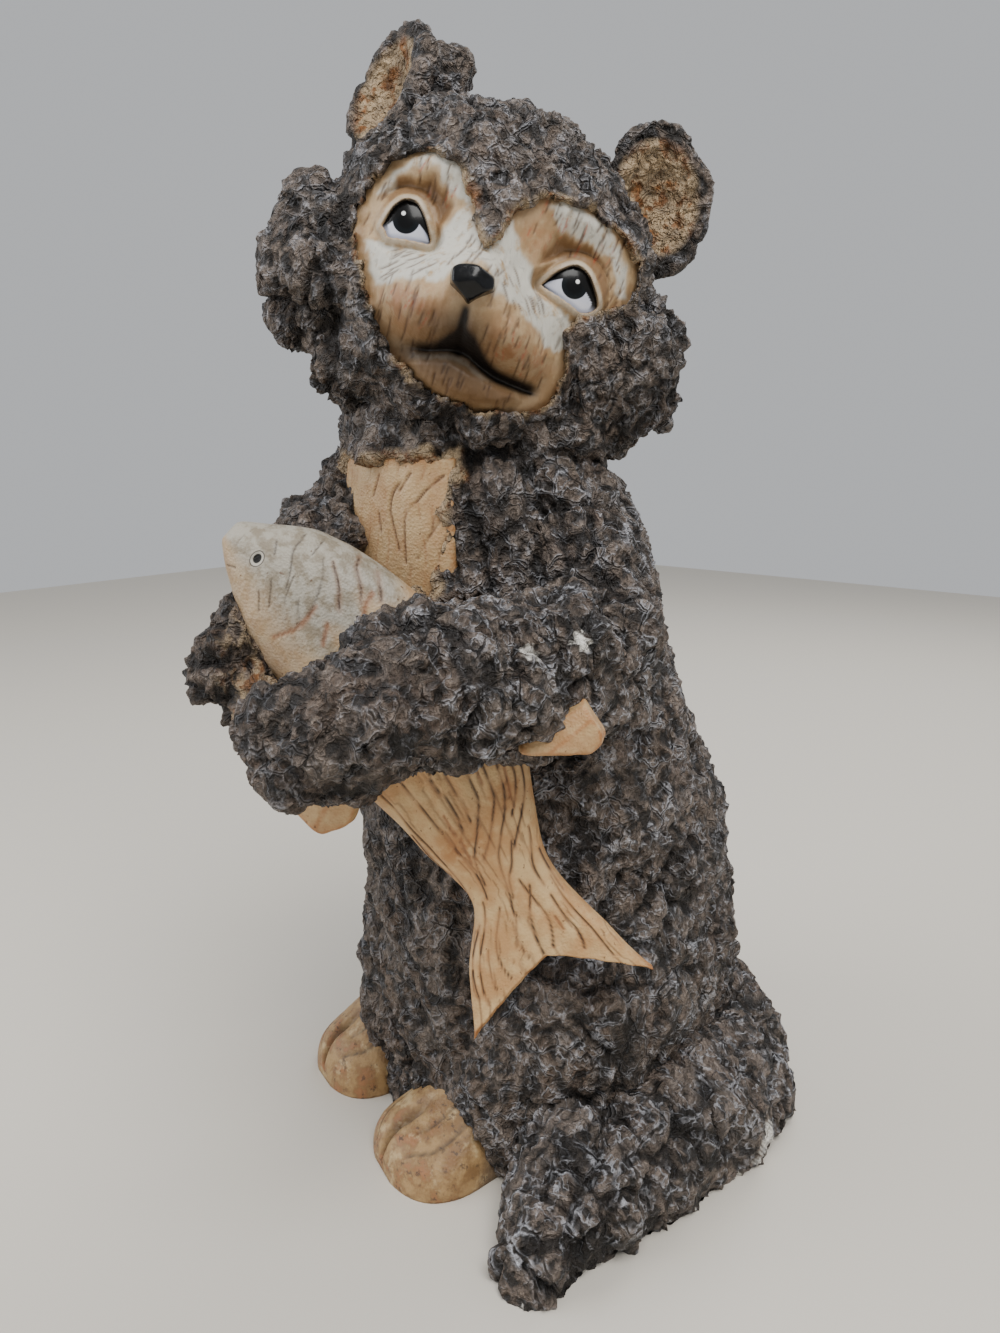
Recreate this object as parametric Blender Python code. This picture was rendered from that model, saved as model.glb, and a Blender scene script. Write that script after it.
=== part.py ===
"""Cast resin bear cub that stands hugging a fish, its bushy tail curled round beside its left foot.

The figure is one casting, so it is one solid: coat, face, fish and feet are fused and cut flat below.
Places and radii are in millimetres on a figure of REFERENCE_HEIGHT and grow with FIGURE_HEIGHT.
+Z is up, the feet point along -Y, the bear's left side is +X, and the origin is on the ground under
the middle of the figure.
"""

import math

import bmesh
import bpy
import numpy as np
from mathutils import Matrix, Vector

FIGURE_HEIGHT = 0.380
REFERENCE_HEIGHT = 380.0
MM = FIGURE_HEIGHT / REFERENCE_HEIGHT

# Fineness of the solid, in reference millimetres, and its number of triangles.
COAT_VOXEL = 2.8
BODY_VOXEL = 1.9
TRIANGLES = 10300
# How much finer the face stays than the coat.
FACE_CARE = 0.00004

# Where the middle of the figure's outline is, seen from above, in the places used below.
MIDDLE = (19.3, -28.9)

# Tufts of the coat: their spacing, the height of one tuft and how far its lower end stands out.
TUFT_SPACING = 15.0
TUFT_HEIGHT = 3.4
TUFT_SHINGLE = 1.6
COAT_SEED = 7

# Stations are x, y, z, half width along X and half width along Y.
TORSO = [
    (3, 9, -6, 62, 66), (4, 12, 25, 69, 73), (5, 12, 60, 72, 77), (5, 10, 92, 71, 76), (4, 6, 122, 69, 72),
    (1, -2, 158, 62, 62), (-3, -10, 195, 56, 56), (-6, -17, 222, 54, 52), (-6, -24, 246, 46, 46),
    (-4, -27, 272, 41, 42), (0, -27, 298, 38, 38),
]
# Stations are x, y, z and radius.
LEFT_ARM = [
    (22, -18, 237, 24), (34, -18, 220, 25), (44, -22, 202, 26), (51, -36, 189, 25), (53, -61, 188, 25),
    (51, -85, 189, 24.5), (46, -105, 190, 23), (40, -120, 186, 20), (35, -130, 181, 17),
]
RIGHT_ARM = [(-35, -40, 236, 24), (-38, -65, 212, 23), (-31, -83, 190, 21), (-24, -102, 186, 18)]
TAIL = [
    (40, 60, 22, 25), (65, 47, 12, 26), (75, 20, 8, 30), (72, -15, 10, 30), (69, -44, 12, 27),
    (71, -66, 10, 21), (75, -86, 5, 13),
]
LEFT_LEG = [(44, -22, 60, 38), (42, -30, 42, 34), (30, -42, 20, 26)]
RIGHT_LEG = [(-21, -23, 72, 33), (-24, -31, 44, 28), (-30, -31, 22, 22)]
# Balls are x, y, z and radius: the knuckles of each paw.
LEFT_PAW = [(27, -137, 182, 11), (30, -134, 173, 11), (34, -126, 168, 10)]
RIGHT_PAW = [(-22, -115, 197, 12), (-24, -117, 186, 12.5), (-15, -115, 177, 12)]

# The head turns to the bear's left, lifts its face and tilts its crown to its right.
HEAD_CENTRE = (7.3, -30.4, 313.8)
HEAD_TURN = 42.9
HEAD_LIFT = 3.0
HEAD_TILT = 20.1
# Head places are in its own axes: l to the bear's left, h up the face and n out of it.
# Lumps are l, h, n and the radii along them.
HEAD_LUMPS = [
    (0, 0, 0, 53, 46, 44), (-43, -20, 2, 24, 24, 26), (46, -18, 2, 26, 25, 26), (-57, -7, 4, 11, 11, 12),
    (-57, -25, 4, 11, 12, 12), (-48, -37, 4, 13, 12, 13), (61, -9, 4, 12, 10, 12), (64, -22, 4, 13, 12, 12),
    (55, -35, 4, 14, 11, 14), (-25, -45, 4, 20, 14, 22), (8, -50, 2, 40, 14, 30), (38, -42, 4, 20, 12, 22),
    (-37, 39, -2, 11, 16, 12), (40, 36, -20, 16, 16, 10),
]
# An ear is its centre, the way its bowl faces, its half width and half height, and its tilt.
RIGHT_EAR = ((-50, 36, 0), (-0.84, 0.05, 0.54), 17, 23, 14)
LEFT_EAR = ((45, 38, 0), (0.0, -0.05, 1.0), 19, 24, -22)
EAR_THICKNESS = 15.0
EAR_HOLLOW = 8.0
EAR_RIM = 3.8

# The bare face: its edge in head places, and how deep the coat stands over it.
FACE_EDGE = [
    (-24, 15), (-16, 13), (-9, 6), (-6, -2), (0, -6), (3, -2), (4, 6), (13, 14), (25, 16), (37, 15), (45, 10),
    (46, 0), (41, -6), (32, -12), (29, -18), (34, -28), (33, -38), (25, -45), (13, -49), (1, -48), (-9, -45),
    (-20, -40), (-28, -29), (-35, -18), (-39, -8), (-40, 2), (-35, 10),
]
COAT_OVER_FACE = 3.0
EYE_RADIUS = 10.0
EYES = [(-24.0, -5.2, 25.0), (27.2, -5.6, 24.0)]
NOSE = (-0.6, -18.6, 52.0, 6.4, 5.0, 6.5)

# The fish: x, y, z on its axis, half height and half thickness. Its flank faces FISH_FACING.
FISH = [
    (-22, -115, 229, 6, 5), (-19, -112, 225, 13, 9), (-13, -106, 217, 18, 12), (-8, -102, 210, 22, 14),
    (3, -92, 195, 26, 16), (15, -83, 178, 28, 16), (28, -76, 159, 26, 14), (38, -72, 140, 20, 11),
    (49, -68, 121, 14, 7.5), (56, -66, 107, 20, 5), (61, -64, 96, 28, 3.8),
]
FISH_FACING = (0.643, -0.766, 0.0)
TAIL_FORK = 18.0
# A fin is its middle and the way it points.
FIN_RADII = (9.0, 5.0, 11.0)
FINS = [((70, -66, 168), (0.77, 0.64, -0.1)), ((12, -107, 152), (-0.11, -0.16, -0.98))]

# A foot is its heel, the way its toes point, its length, half width and height.
LEFT_FOOT = ((26, -34), (-0.22, -0.98), 61, 19, 29)
RIGHT_FOOT = ((-36, -20), (-0.22, -0.98), 52, 18, 33)
TOE_GROOVE = 5.0

# The bare patch on the chest: how far round from -Y and how high it reaches.
CHEST_TURN = (-30.0, 35.0)
CHEST_HEIGHT = (206.0, 251.0)
CHEST_RECESS = 1.5


def clear_scene():
    for thing in list(bpy.data.objects):
        bpy.data.objects.remove(thing, do_unlink=True)


def smooth_step(value, low, high):
    """0 below low, 1 above high, and a smooth ramp between."""
    t = np.clip((value - low) / (high - low), 0.0, 1.0)
    return t * t * (3.0 - 2.0 * t)


def through(stations, per_span=6):
    """A Catmull-Rom curve through the stations, all of their columns alike."""
    points = np.array(stations, float)
    padded = np.vstack([2 * points[0] - points[1], points, 2 * points[-1] - points[-2]])
    t = np.linspace(0.0, 1.0, per_span, endpoint=False)[:, None]
    spans = []
    for a, b, c, d in zip(padded[:-3], padded[1:-2], padded[2:-1], padded[3:]):
        spans.append(0.5 * (2 * b + (c - a) * t + (2 * a - 5 * b + 4 * c - d) * t**2
                            + (3 * b - a - 3 * c + d) * t**3))
    return np.vstack(spans + [points[-1:]])


def closed_rings(rings):
    """Faces round a stack of rings, with a fan to the middle of the first and the last ring."""
    count, around, _ = rings.shape
    points = np.vstack([rings.reshape(-1, 3), rings[0].mean(0), rings[-1].mean(0)])
    i, j = np.meshgrid(np.arange(count - 1), np.arange(around), indexing="ij")
    k = (j + 1) % around
    sides = np.stack([i * around + j, i * around + k, (i + 1) * around + k, (i + 1) * around + j], -1)
    faces = sides.reshape(-1, 4).tolist()
    j = np.arange(around)
    k = (j + 1) % around
    first, last = count * around, count * around + 1
    faces += np.stack([np.full(around, first), k, j], -1).tolist()
    base = (count - 1) * around
    faces += np.stack([np.full(around, last), base + j, base + k], -1).tolist()
    return points, faces


def ellipsoid(centre, radii, axes=np.eye(3), rings=18, around=26):
    """Rings of a ball, stretched to the radii along the rows of axes."""
    down = np.linspace(0.04, math.pi - 0.04, rings)[:, None]
    turn = np.linspace(0, 2 * math.pi, around, endpoint=False)[None, :]
    ball = np.stack([np.sin(down) * np.cos(turn), np.sin(down) * np.sin(turn), np.cos(down) + 0 * turn], -1)
    return closed_rings(np.array(centre, float) + (ball * np.array(radii, float)) @ axes)


def limb(stations, around=24):
    """A round tube through stations of x, y, z and radius, with ball ends."""
    path = through(stations)
    middle, radius = path[:, :3], path[:, 3:]
    along = np.gradient(middle, axis=0)
    along /= np.linalg.norm(along, axis=1, keepdims=True)
    side = np.cross(along, [0.31, 0.22, 0.93])
    side /= np.linalg.norm(side, axis=1, keepdims=True)
    up = np.cross(side, along)
    turn = np.linspace(0, 2 * math.pi, around, endpoint=False)[None, :, None]
    spin = np.cos(turn) * up[:, None] + np.sin(turn) * side[:, None]
    tube = middle[:, None] + spin * radius[:, None]
    steps = np.linspace(0.12, 1.45, 6)
    start = [middle[0] - along[0] * radius[0] * math.cos(s) + spin[0] * radius[0] * math.sin(s) for s in steps]
    end = [middle[-1] + along[-1] * radius[-1] * math.cos(s) + spin[-1] * radius[-1] * math.sin(s)
           for s in steps[::-1]]
    return closed_rings(np.concatenate([start, tube, end]))


def torso():
    """Level ellipses through the torso's stations."""
    path = through(TORSO)
    turn = np.linspace(0, 2 * math.pi, 40, endpoint=False)[None, :]
    x = path[:, :1] + path[:, 3:4] * np.cos(turn)
    y = path[:, 1:2] + path[:, 4:5] * np.sin(turn)
    return closed_rings(np.stack([x, y, path[:, 2:3] + 0 * turn], -1))


def head_axes():
    """The head's own axes as rows: to the bear's left, up the face and out of it."""
    turn, lift, tilt = (math.radians(angle) for angle in (HEAD_TURN, HEAD_LIFT, HEAD_TILT))
    turned = Matrix.Rotation(turn, 3, "Z") @ Matrix.Rotation(-lift, 3, "X") @ Matrix.Rotation(tilt, 3, "Y")
    return np.array([turned @ Vector((1, 0, 0)), turned @ Vector((0, 0, 1)), turned @ Vector((0, -1, 0))])


def from_head(places):
    return np.array(HEAD_CENTRE) + np.asarray(places, float) @ head_axes()


def to_head(points):
    return (points - np.array(HEAD_CENTRE)) @ head_axes().T


def edge_distance(l, h, edge):
    """Distance from the face's edge, negative inside it."""
    corners = np.array(edge, float)
    following = np.roll(corners, -1, axis=0)
    nearest = np.full(l.shape, 1e9)
    inside = np.zeros(l.shape, bool)
    for (al, ah), (bl, bh) in zip(corners, following):
        dl, dh = bl - al, bh - ah
        t = np.clip(((l - al) * dl + (h - ah) * dh) / (dl * dl + dh * dh), 0, 1)
        nearest = np.minimum(nearest, np.hypot(l - al - t * dl, h - ah - t * dh))
        crosses = ((ah > h) != (bh > h)) & (l < al + (h - ah) * dl / (dh if dh else 1e-9))
        inside ^= crosses
    return np.where(inside, -nearest, nearest)


def mouth_line(l):
    """The height of the mouth across the face: it peaks under the nose and droops to both sides."""
    return -34.6 - 3.4 * (1 - np.exp(-(((l - 2) / 8) ** 2))) + 0.08 * np.clip(l - 15, 0, None)


def face_depth(l, h):
    """How far the bare face stands out of the head: a dome with a muzzle, hollows, brows, mouth and chin."""

    def swell(at_l, at_h, wide, high):
        return np.exp(-(((l - at_l) / wide) ** 2) - ((h - at_h) / high) ** 2)

    dome = 43 - l**2 / 80 - np.clip(h, 0, None) ** 2 / 90 - np.clip(h, None, 0) ** 2 / 220
    muzzle = 11 * swell(1, -24, 17, 12) + 5 * swell(-13, -29, 9, 8) + 5.5 * swell(15, -29, 10, 8)
    bridge = 6 * swell(0.5, -9, 6.5, 12)
    hollows = 7 * swell(-24, 1, 12, 9) + 7 * swell(26, 1, 12, 9)
    brows = 3 * swell(-22, 12, 12, 4) + 3 * swell(22, 13, 13, 4)
    chin = 8 * swell(11, -43.5, 15, 5.5)
    across = smooth_step(l, -15, -8) * (1 - smooth_step(l, 26, 33))
    gap = h - mouth_line(l)
    lip = 3.0 * across * smooth_step(-gap, 0.0, 3.0)
    mouth = 4.5 * across * np.exp(-((gap / 1.8) ** 2))
    under_nose = 2.2 * np.exp(-(((l - 1) / 1.6) ** 2)) * smooth_step(-h, 22, 25) * smooth_step(h, -37, -34)
    return dome + muzzle + bridge - hollows + brows + chin - lip - mouth - under_nose


def face():
    """The face as a slab: its carved front, and a plain back inside the head."""
    l, h = np.meshgrid(np.linspace(-47, 53, 84), np.linspace(-55, 22, 66), indexing="ij")
    outside = edge_distance(l, h, FACE_EDGE)
    front = face_depth(l, h) - 9 * smooth_step(outside, 1, 7)
    points = np.concatenate([np.stack([l, h, level], -1).reshape(-1, 3) for level in (front, front - 12)])
    rows, columns = l.shape
    i, j = np.meshgrid(np.arange(rows - 1), np.arange(columns - 1), indexing="ij")
    quad = np.stack([i * columns + j, (i + 1) * columns + j, (i + 1) * columns + j + 1, i * columns + j + 1], -1)
    quad = quad.reshape(-1, 4)
    back = rows * columns
    rim = np.concatenate([np.arange(rows - 1) * columns, (rows - 1) * columns + np.arange(columns - 1),
                          np.arange(rows - 1, 0, -1) * columns + columns - 1, np.arange(columns - 1, 0, -1)])
    ahead = np.roll(rim, -1)
    walls = np.stack([rim, rim + back, ahead + back, ahead], -1)
    return from_head(points), np.concatenate([quad, quad[:, ::-1] + back, walls]).tolist()


def ear(centre, facing, half_width, half_height, tilt):
    """A thick saucer: its profile runs from the bottom of the bowl over the rim and down the back."""
    n = np.array(facing, float) / np.linalg.norm(facing)
    up = np.array([math.sin(math.radians(tilt)), math.cos(math.radians(tilt)), 0.0])
    up -= n * (up @ n)
    up /= np.linalg.norm(up)
    side = np.cross(up, n)
    bowl = np.linspace(0.05, 1.0, 10)
    quarter = np.linspace(0.0, math.pi / 2, 7)[1:]
    out = np.concatenate([(half_width - EAR_RIM) * bowl, half_width - EAR_RIM + EAR_RIM * np.sin(quarter),
                          half_width * np.cos(quarter * 0.97)])[:, None] / half_width
    level = np.concatenate([-EAR_HOLLOW * (1 - bowl**2) ** 1.5, EAR_RIM * (np.cos(quarter) - 1),
                            -EAR_RIM - (EAR_THICKNESS - EAR_RIM) * np.sin(quarter * 0.97)])[:, None]
    turn = np.linspace(0, 2 * math.pi, 30, endpoint=False)[None, :]
    places = (np.array(centre, float) + side * (half_width * out * np.cos(turn))[..., None]
              + up * (half_height * out * np.sin(turn))[..., None] + n * (level + 0 * turn)[..., None])
    return closed_rings(from_head(places))


def fish():
    """Rings round the fish's axis that flatten into the tail fin, whose end is forked."""
    path = through(FISH)
    middle, half_height, half_thick = path[:, :3], path[:, 3:4], path[:, 4:5]
    along = np.gradient(middle, axis=0)
    along /= np.linalg.norm(along, axis=1, keepdims=True)
    facing = np.array(FISH_FACING)
    high = np.cross(facing, along)
    high /= np.linalg.norm(high, axis=1, keepdims=True)
    turn = np.linspace(0, 2 * math.pi, 48, endpoint=False)[None, :]
    fullness = 0.9 - 0.45 * np.linspace(0, 1, len(path))[:, None] ** 3
    up = np.cos(turn)
    out = np.sign(np.sin(turn)) * np.abs(np.sin(turn)) ** fullness
    late = np.linspace(0, 1, len(path))[:, None]
    fork = TAIL_FORK * smooth_step(late, 0.8, 1.0) * (np.abs(up) ** 1.2 - 0.1)
    rings = (middle[:, None] + high[:, None] * (half_height * up)[..., None]
             + facing * (half_thick * out)[..., None] + along[:, None] * fork[..., None])
    around = rings.shape[1]
    points = rings.reshape(-1, 3)
    _, faces = closed_rings(rings)
    sides = [f for f in faces if len(f) == 4]
    base = (len(rings) - 1) * around
    caps = []
    for j in range(around // 2):
        caps.append([j, j + 1, (around - j - 1) % around, (around - j) % around])
        caps.append([base + (around - j) % around, base + (around - j - 1) % around, base + j + 1, base + j])
    caps = [[c for k, c in enumerate(f) if c not in f[:k]] for f in caps]
    return points, sides + caps


def fin(middle, pointing):
    """A small blunt fin: a flattened ball that points away from the fish."""
    along = np.array(pointing) / np.linalg.norm(pointing)
    facing = np.array(FISH_FACING)
    return ellipsoid(middle, FIN_RADII, np.array([np.cross(facing, along), facing, along]))


def foot(heel, pointing, length, half_width, height):
    """Arches across the foot, from the heel to the toes, with grooves between the toes."""
    ahead = np.array([*pointing, 0.0]) / np.linalg.norm(pointing)
    side = np.array([-ahead[1], ahead[0], 0.0])
    t = np.linspace(0.02, 0.985, 26)[:, None]
    turn = np.linspace(0, 2 * math.pi, 44, endpoint=False)[None, :]
    width = half_width * np.sqrt(1 - (2 * t - 1) ** 4) * (0.8 + 0.2 * smooth_step(t, 0.2, 0.7))
    rise = height * (1 - 0.52 * smooth_step(t, 0.15, 0.85)) * np.sqrt(1 - np.clip(2 * t - 1, 0, 1) ** 4)
    across = np.cos(turn)
    arch = np.clip(np.sin(turn), -0.12, None)
    groove = TOE_GROOVE * smooth_step(t, 0.45, 0.8) * np.exp(-(((across + 0.1) / 0.16) ** 2)) * (arch > 0)
    places = (np.array([*heel, 0.0]) + ahead * (length * t + 0 * turn)[..., None]
              + side * (width * across)[..., None] + np.array([0, 0, 1.0]) * (rise * arch - groove)[..., None])
    return closed_rings(places)


def cells(points, size, seed):
    """One point is scattered in each cube of a grid: the nearest one's distance, the next one's, the way to it."""
    where = points / size
    corner = np.floor(where)
    near = np.full(len(points), 9.0)
    second = np.full(len(points), 9.0)
    way = np.zeros_like(points)
    for step in np.ndindex(3, 3, 3):
        cube = corner + np.array(step) - 1
        mixed = np.stack([np.sin(cube @ np.array(k) + seed) * 43758.5453 for k in
                          ((12.9898, 78.233, 37.719), (39.346, 11.135, 83.155), (73.156, 52.235, 9.151))], -1)
        centre = cube + mixed - np.floor(mixed)
        gap = where - centre
        distance = np.linalg.norm(gap, axis=1)
        closer = distance < near
        second = np.where(closer, near, np.minimum(second, distance))
        way[closer] = gap[closer]
        near = np.where(closer, distance, near)
    return near, second, way


def coat_relief(points):
    """Height of the coat's tufts: domes with deep creases between, each standing out at its lower end."""
    bent = points + 3.0 * np.sin(points[:, [1, 2, 0]] * 0.13 + COAT_SEED)
    near, second, way = cells(bent * np.array([1.15, 1.15, 0.85]), TUFT_SPACING, COAT_SEED)
    dome = TUFT_HEIGHT * (0.55 - near**2)
    crease = -0.5 * TUFT_HEIGHT * np.exp(-(((second - near) / 0.12) ** 2))
    return dome + crease - TUFT_SHINGLE * way[:, 2]


def mesh_object(name, shapes, scale=1.0):
    """One object of all the shapes' points and faces."""
    points, faces, start = [], [], 0
    for shape_points, shape_faces in shapes:
        points.append(shape_points)
        faces += [[start + k for k in face_] for face_ in shape_faces]
        start += len(shape_points)
    mesh = bpy.data.meshes.new(name)
    mesh.from_pydata((np.vstack(points) * scale).tolist(), [], faces)
    thing = bpy.data.objects.new(name, mesh)
    bpy.context.scene.collection.objects.link(thing)
    tidy = bmesh.new()
    tidy.from_mesh(mesh)
    bmesh.ops.recalc_face_normals(tidy, faces=tidy.faces)
    tidy.to_mesh(mesh)
    tidy.free()
    return thing


def fused(thing, voxel, smoothing):
    """The object's overlapping shapes made one skin: its points, their normals and its faces."""
    remesh = thing.modifiers.new("fuse", "REMESH")
    remesh.mode = "VOXEL"
    remesh.voxel_size = voxel
    if smoothing:
        soften = thing.modifiers.new("soften", "SMOOTH")
        soften.factor = 0.5
        soften.iterations = smoothing
    evaluated = thing.evaluated_get(bpy.context.evaluated_depsgraph_get())
    mesh = bpy.data.meshes.new_from_object(evaluated)
    bpy.data.objects.remove(thing, do_unlink=True)
    points = np.empty(len(mesh.vertices) * 3)
    normals = np.empty(len(mesh.vertices) * 3)
    mesh.vertices.foreach_get("co", points)
    mesh.vertices.foreach_get("normal", normals)
    faces = [tuple(polygon.vertices) for polygon in mesh.polygons]
    bpy.data.meshes.remove(mesh)
    return points.reshape(-1, 3), normals.reshape(-1, 3), faces


def chest_share(points):
    """1 on the bare patch of the chest and 0 off it."""
    angle = np.degrees(np.arctan2(points[:, 0] + 8, -(points[:, 1] + 20)))
    inside = smooth_step(angle, CHEST_TURN[0] - 2, CHEST_TURN[0] + 2)
    inside = inside * (1 - smooth_step(angle, CHEST_TURN[1] - 2, CHEST_TURN[1] + 2))
    level = smooth_step(points[:, 2], CHEST_HEIGHT[0] - 2, CHEST_HEIGHT[0] + 2)
    level = level * (1 - smooth_step(points[:, 2], CHEST_HEIGHT[1] - 2, CHEST_HEIGHT[1] + 2))
    reach = np.hypot(points[:, 0] + 8, points[:, 1] + 20)
    return inside * level * (reach < 62)


def seat_face(points):
    """Lets the coat down under the bare face and lifts it round the face's edge."""
    local = to_head(points)
    l, h, n = local.T
    outside = edge_distance(l, h, FACE_EDGE)
    surface = face_depth(l, h)
    sunk = np.minimum(n, surface - 7)
    rim = surface + COAT_OVER_FACE * (1 - smooth_step(outside, 2, 12)) - 30 * smooth_step(outside, 8, 16)
    lifted = n + np.maximum(rim - n, 0) * smooth_step(n - surface, -20, -10)
    blend = smooth_step(outside, -1.2, 0.6)
    local[:, 2] = np.where(n > 5, sunk * (1 - blend) + lifted * blend, n)
    return from_head(local)


def coat():
    """The shaggy coat: torso, legs, arms, paws, tail and head in one skin with its tufts."""
    axes = head_axes()
    shapes = [torso()] + [limb(s) for s in (LEFT_ARM, RIGHT_ARM, TAIL, LEFT_LEG, RIGHT_LEG)]
    shapes += [ellipsoid(ball[:3], (ball[3],) * 3) for ball in LEFT_PAW + RIGHT_PAW]
    shapes += [ellipsoid(from_head(lump[:3]), lump[3:], axes) for lump in HEAD_LUMPS]
    shapes += [ear(*RIGHT_EAR), ear(*LEFT_EAR)]
    points, normals, faces = fused(mesh_object("coat", shapes), COAT_VOXEL, 4)
    bare = chest_share(points)
    depth = coat_relief(points) * (1 - bare) - CHEST_RECESS * bare
    return seat_face(points + normals * depth[:, None]), faces


def largest_skin(points, faces):
    """The outer skin alone: air pockets and specks that the fusing left inside are dropped."""
    parts = bmesh.new()
    made = [parts.verts.new(p) for p in points]
    for face_ in faces:
        parts.faces.new([made[k] for k in face_])
    parts.verts.ensure_lookup_table()
    unseen = set(parts.verts)
    skins = []
    while unseen:
        edge = [unseen.pop()]
        skin = set(edge)
        while edge:
            vertex = edge.pop()
            for link in vertex.link_edges:
                other = link.other_vert(vertex)
                if other in unseen:
                    unseen.remove(other)
                    skin.add(other)
                    edge.append(other)
        skins.append(skin)
    keep = max(skins, key=len)
    bmesh.ops.delete(parts, geom=[v for v in parts.verts if v not in keep], context="VERTS")
    return parts


def off_the_face(mesh):
    """The numbers of the vertices that don't belong to the bare face."""
    points = np.empty(len(mesh.vertices) * 3)
    mesh.vertices.foreach_get("co", points)
    l, h, n = to_head(points.reshape(-1, 3) / MM + np.array([*MIDDLE, 0.0])).T
    return np.flatnonzero((edge_distance(l, h, FACE_EDGE) > 2) | (n < 10)).tolist()


def painted_resin():
    material = bpy.data.materials.new("painted_resin")
    material.use_nodes = True
    shader = material.node_tree.nodes["Principled BSDF"]
    shader.inputs["Base Color"].default_value = (0.062, 0.050, 0.042, 1.0)
    shader.inputs["Roughness"].default_value = 0.72
    shader.inputs["Metallic"].default_value = 0.0
    return material


def floor_cutter():
    """Everything below the ground: the casting's underside is flat."""
    size = FIGURE_HEIGHT
    bpy.ops.mesh.primitive_cube_add(size=2 * size, location=(0, 0, -size))
    cutter = bpy.context.object
    cutter.name = "floor_cutter"
    cutter.hide_render = True
    cutter.display_type = "WIRE"
    return cutter


def figurine():
    axes = head_axes()
    shapes = [coat(), face(), fish(), foot(*LEFT_FOOT), foot(*RIGHT_FOOT)]
    shapes += [fin(*one) for one in FINS]
    shapes += [ellipsoid(from_head(eye), (EYE_RADIUS,) * 3) for eye in EYES]
    shapes.append(ellipsoid(from_head(NOSE[:3]), NOSE[3:], axes))
    points, _, faces = fused(mesh_object("casting", shapes), BODY_VOXEL, 1)
    skin = largest_skin((points - np.array([*MIDDLE, 0.0])) * MM, faces)
    mesh = bpy.data.meshes.new("bear_with_fish")
    skin.to_mesh(mesh)
    skin.free()
    bear = bpy.data.objects.new("bear_with_fish", mesh)
    bpy.context.scene.collection.objects.link(bear)
    plain = bear.vertex_groups.new(name="plain")
    plain.add(off_the_face(mesh), 1.0, "REPLACE")
    thin_out = bear.modifiers.new("thin_out", "DECIMATE")
    triangles = sum(len(polygon.vertices) - 2 for polygon in mesh.polygons)
    thin_out.ratio = TRIANGLES / triangles
    thin_out.vertex_group = plain.name
    thin_out.vertex_group_factor = FACE_CARE
    stand = bear.modifiers.new("stand", "BOOLEAN")
    stand.operation = "DIFFERENCE"
    stand.solver = "EXACT"
    stand.object = floor_cutter()
    mesh.materials.append(painted_resin())
    return bear


def main():
    clear_scene()
    figurine()


main()
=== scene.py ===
"""A cast resin bear cub, painted, hugging a fish. Coat, face and fish are worked out piece by piece."""

import math

import bmesh
import bpy
import numpy as np
from mathutils import Matrix, Vector


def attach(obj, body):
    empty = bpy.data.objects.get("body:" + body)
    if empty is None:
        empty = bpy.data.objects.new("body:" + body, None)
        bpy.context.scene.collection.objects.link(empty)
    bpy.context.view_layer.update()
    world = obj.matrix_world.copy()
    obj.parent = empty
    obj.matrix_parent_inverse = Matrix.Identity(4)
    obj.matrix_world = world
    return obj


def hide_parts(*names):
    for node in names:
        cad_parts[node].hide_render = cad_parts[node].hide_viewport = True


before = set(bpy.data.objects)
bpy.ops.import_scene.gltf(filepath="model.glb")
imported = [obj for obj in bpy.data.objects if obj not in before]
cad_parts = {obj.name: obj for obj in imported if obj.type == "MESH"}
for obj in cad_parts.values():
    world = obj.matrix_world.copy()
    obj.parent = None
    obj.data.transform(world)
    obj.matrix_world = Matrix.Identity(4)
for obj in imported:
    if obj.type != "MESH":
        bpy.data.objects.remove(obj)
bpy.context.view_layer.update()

# The picture's place.
# The figure stands on pale ground under soft light. Places are millimetres with +Z up, the feet towards -Y
# and the bear's left on +X, and MIDDLE is the point over which the origin stands.
MM = 0.001
MIDDLE = np.array([19.3, -28.9, 0.0])
EYE_POINT = (235.3, -296.0, 258.5)
LOOK_TURN = 40.0
LOOK_DOWN = 13.02
LENS = 27.03


def to_metres(points):
    """Millimetre places moved to the middle of the figure, in metres."""
    return (np.asarray(points, float) - MIDDLE) * MM


def light(name, place, target, size, watts, colour):
    """A square soft light at a place, turned to shine on its target."""
    lamp = bpy.data.lights.new(name, "AREA")
    lamp.size = size
    lamp.energy = watts
    lamp.color = colour
    thing = bpy.data.objects.new(name, lamp)
    bpy.context.scene.collection.objects.link(thing)
    thing.location = place
    thing.rotation_euler = (Vector(target) - Vector(place)).to_track_quat("-Z", "Y").to_euler()


camera = bpy.data.objects.new("camera", bpy.data.cameras.new("camera"))
bpy.context.scene.collection.objects.link(camera)
bpy.context.scene.camera = camera
camera.data.lens = LENS
camera.data.sensor_width = 36.0
camera.data.clip_start = 0.01
camera.location = to_metres(EYE_POINT)
turn, down = math.radians(LOOK_TURN), math.radians(LOOK_DOWN)
gaze = Vector((-math.sin(turn) * math.cos(down), math.cos(turn) * math.cos(down), -math.sin(down)))
camera.rotation_euler = gaze.to_track_quat("-Z", "Y").to_euler()

light("key", (0.55, -0.35, 1.15), (0.0, 0.0, 0.2), 0.7, 15.0, (1.0, 0.985, 0.96))
light("fill", (-0.75, -0.75, 0.65), (0.0, 0.0, 0.2), 0.9, 8.5, (0.95, 0.97, 1.0))
light("back", (-0.1, 0.9, 0.9), (0.0, 0.0, 0.25), 0.8, 6.0, (1.0, 1.0, 1.0))
sky = bpy.data.worlds.new("sky")
sky.use_nodes = True
sky.node_tree.nodes["Background"].inputs["Color"].default_value = (0.95, 0.97, 1.0, 1.0)
sky.node_tree.nodes["Background"].inputs["Strength"].default_value = 0.55
bpy.context.scene.world = sky

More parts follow.
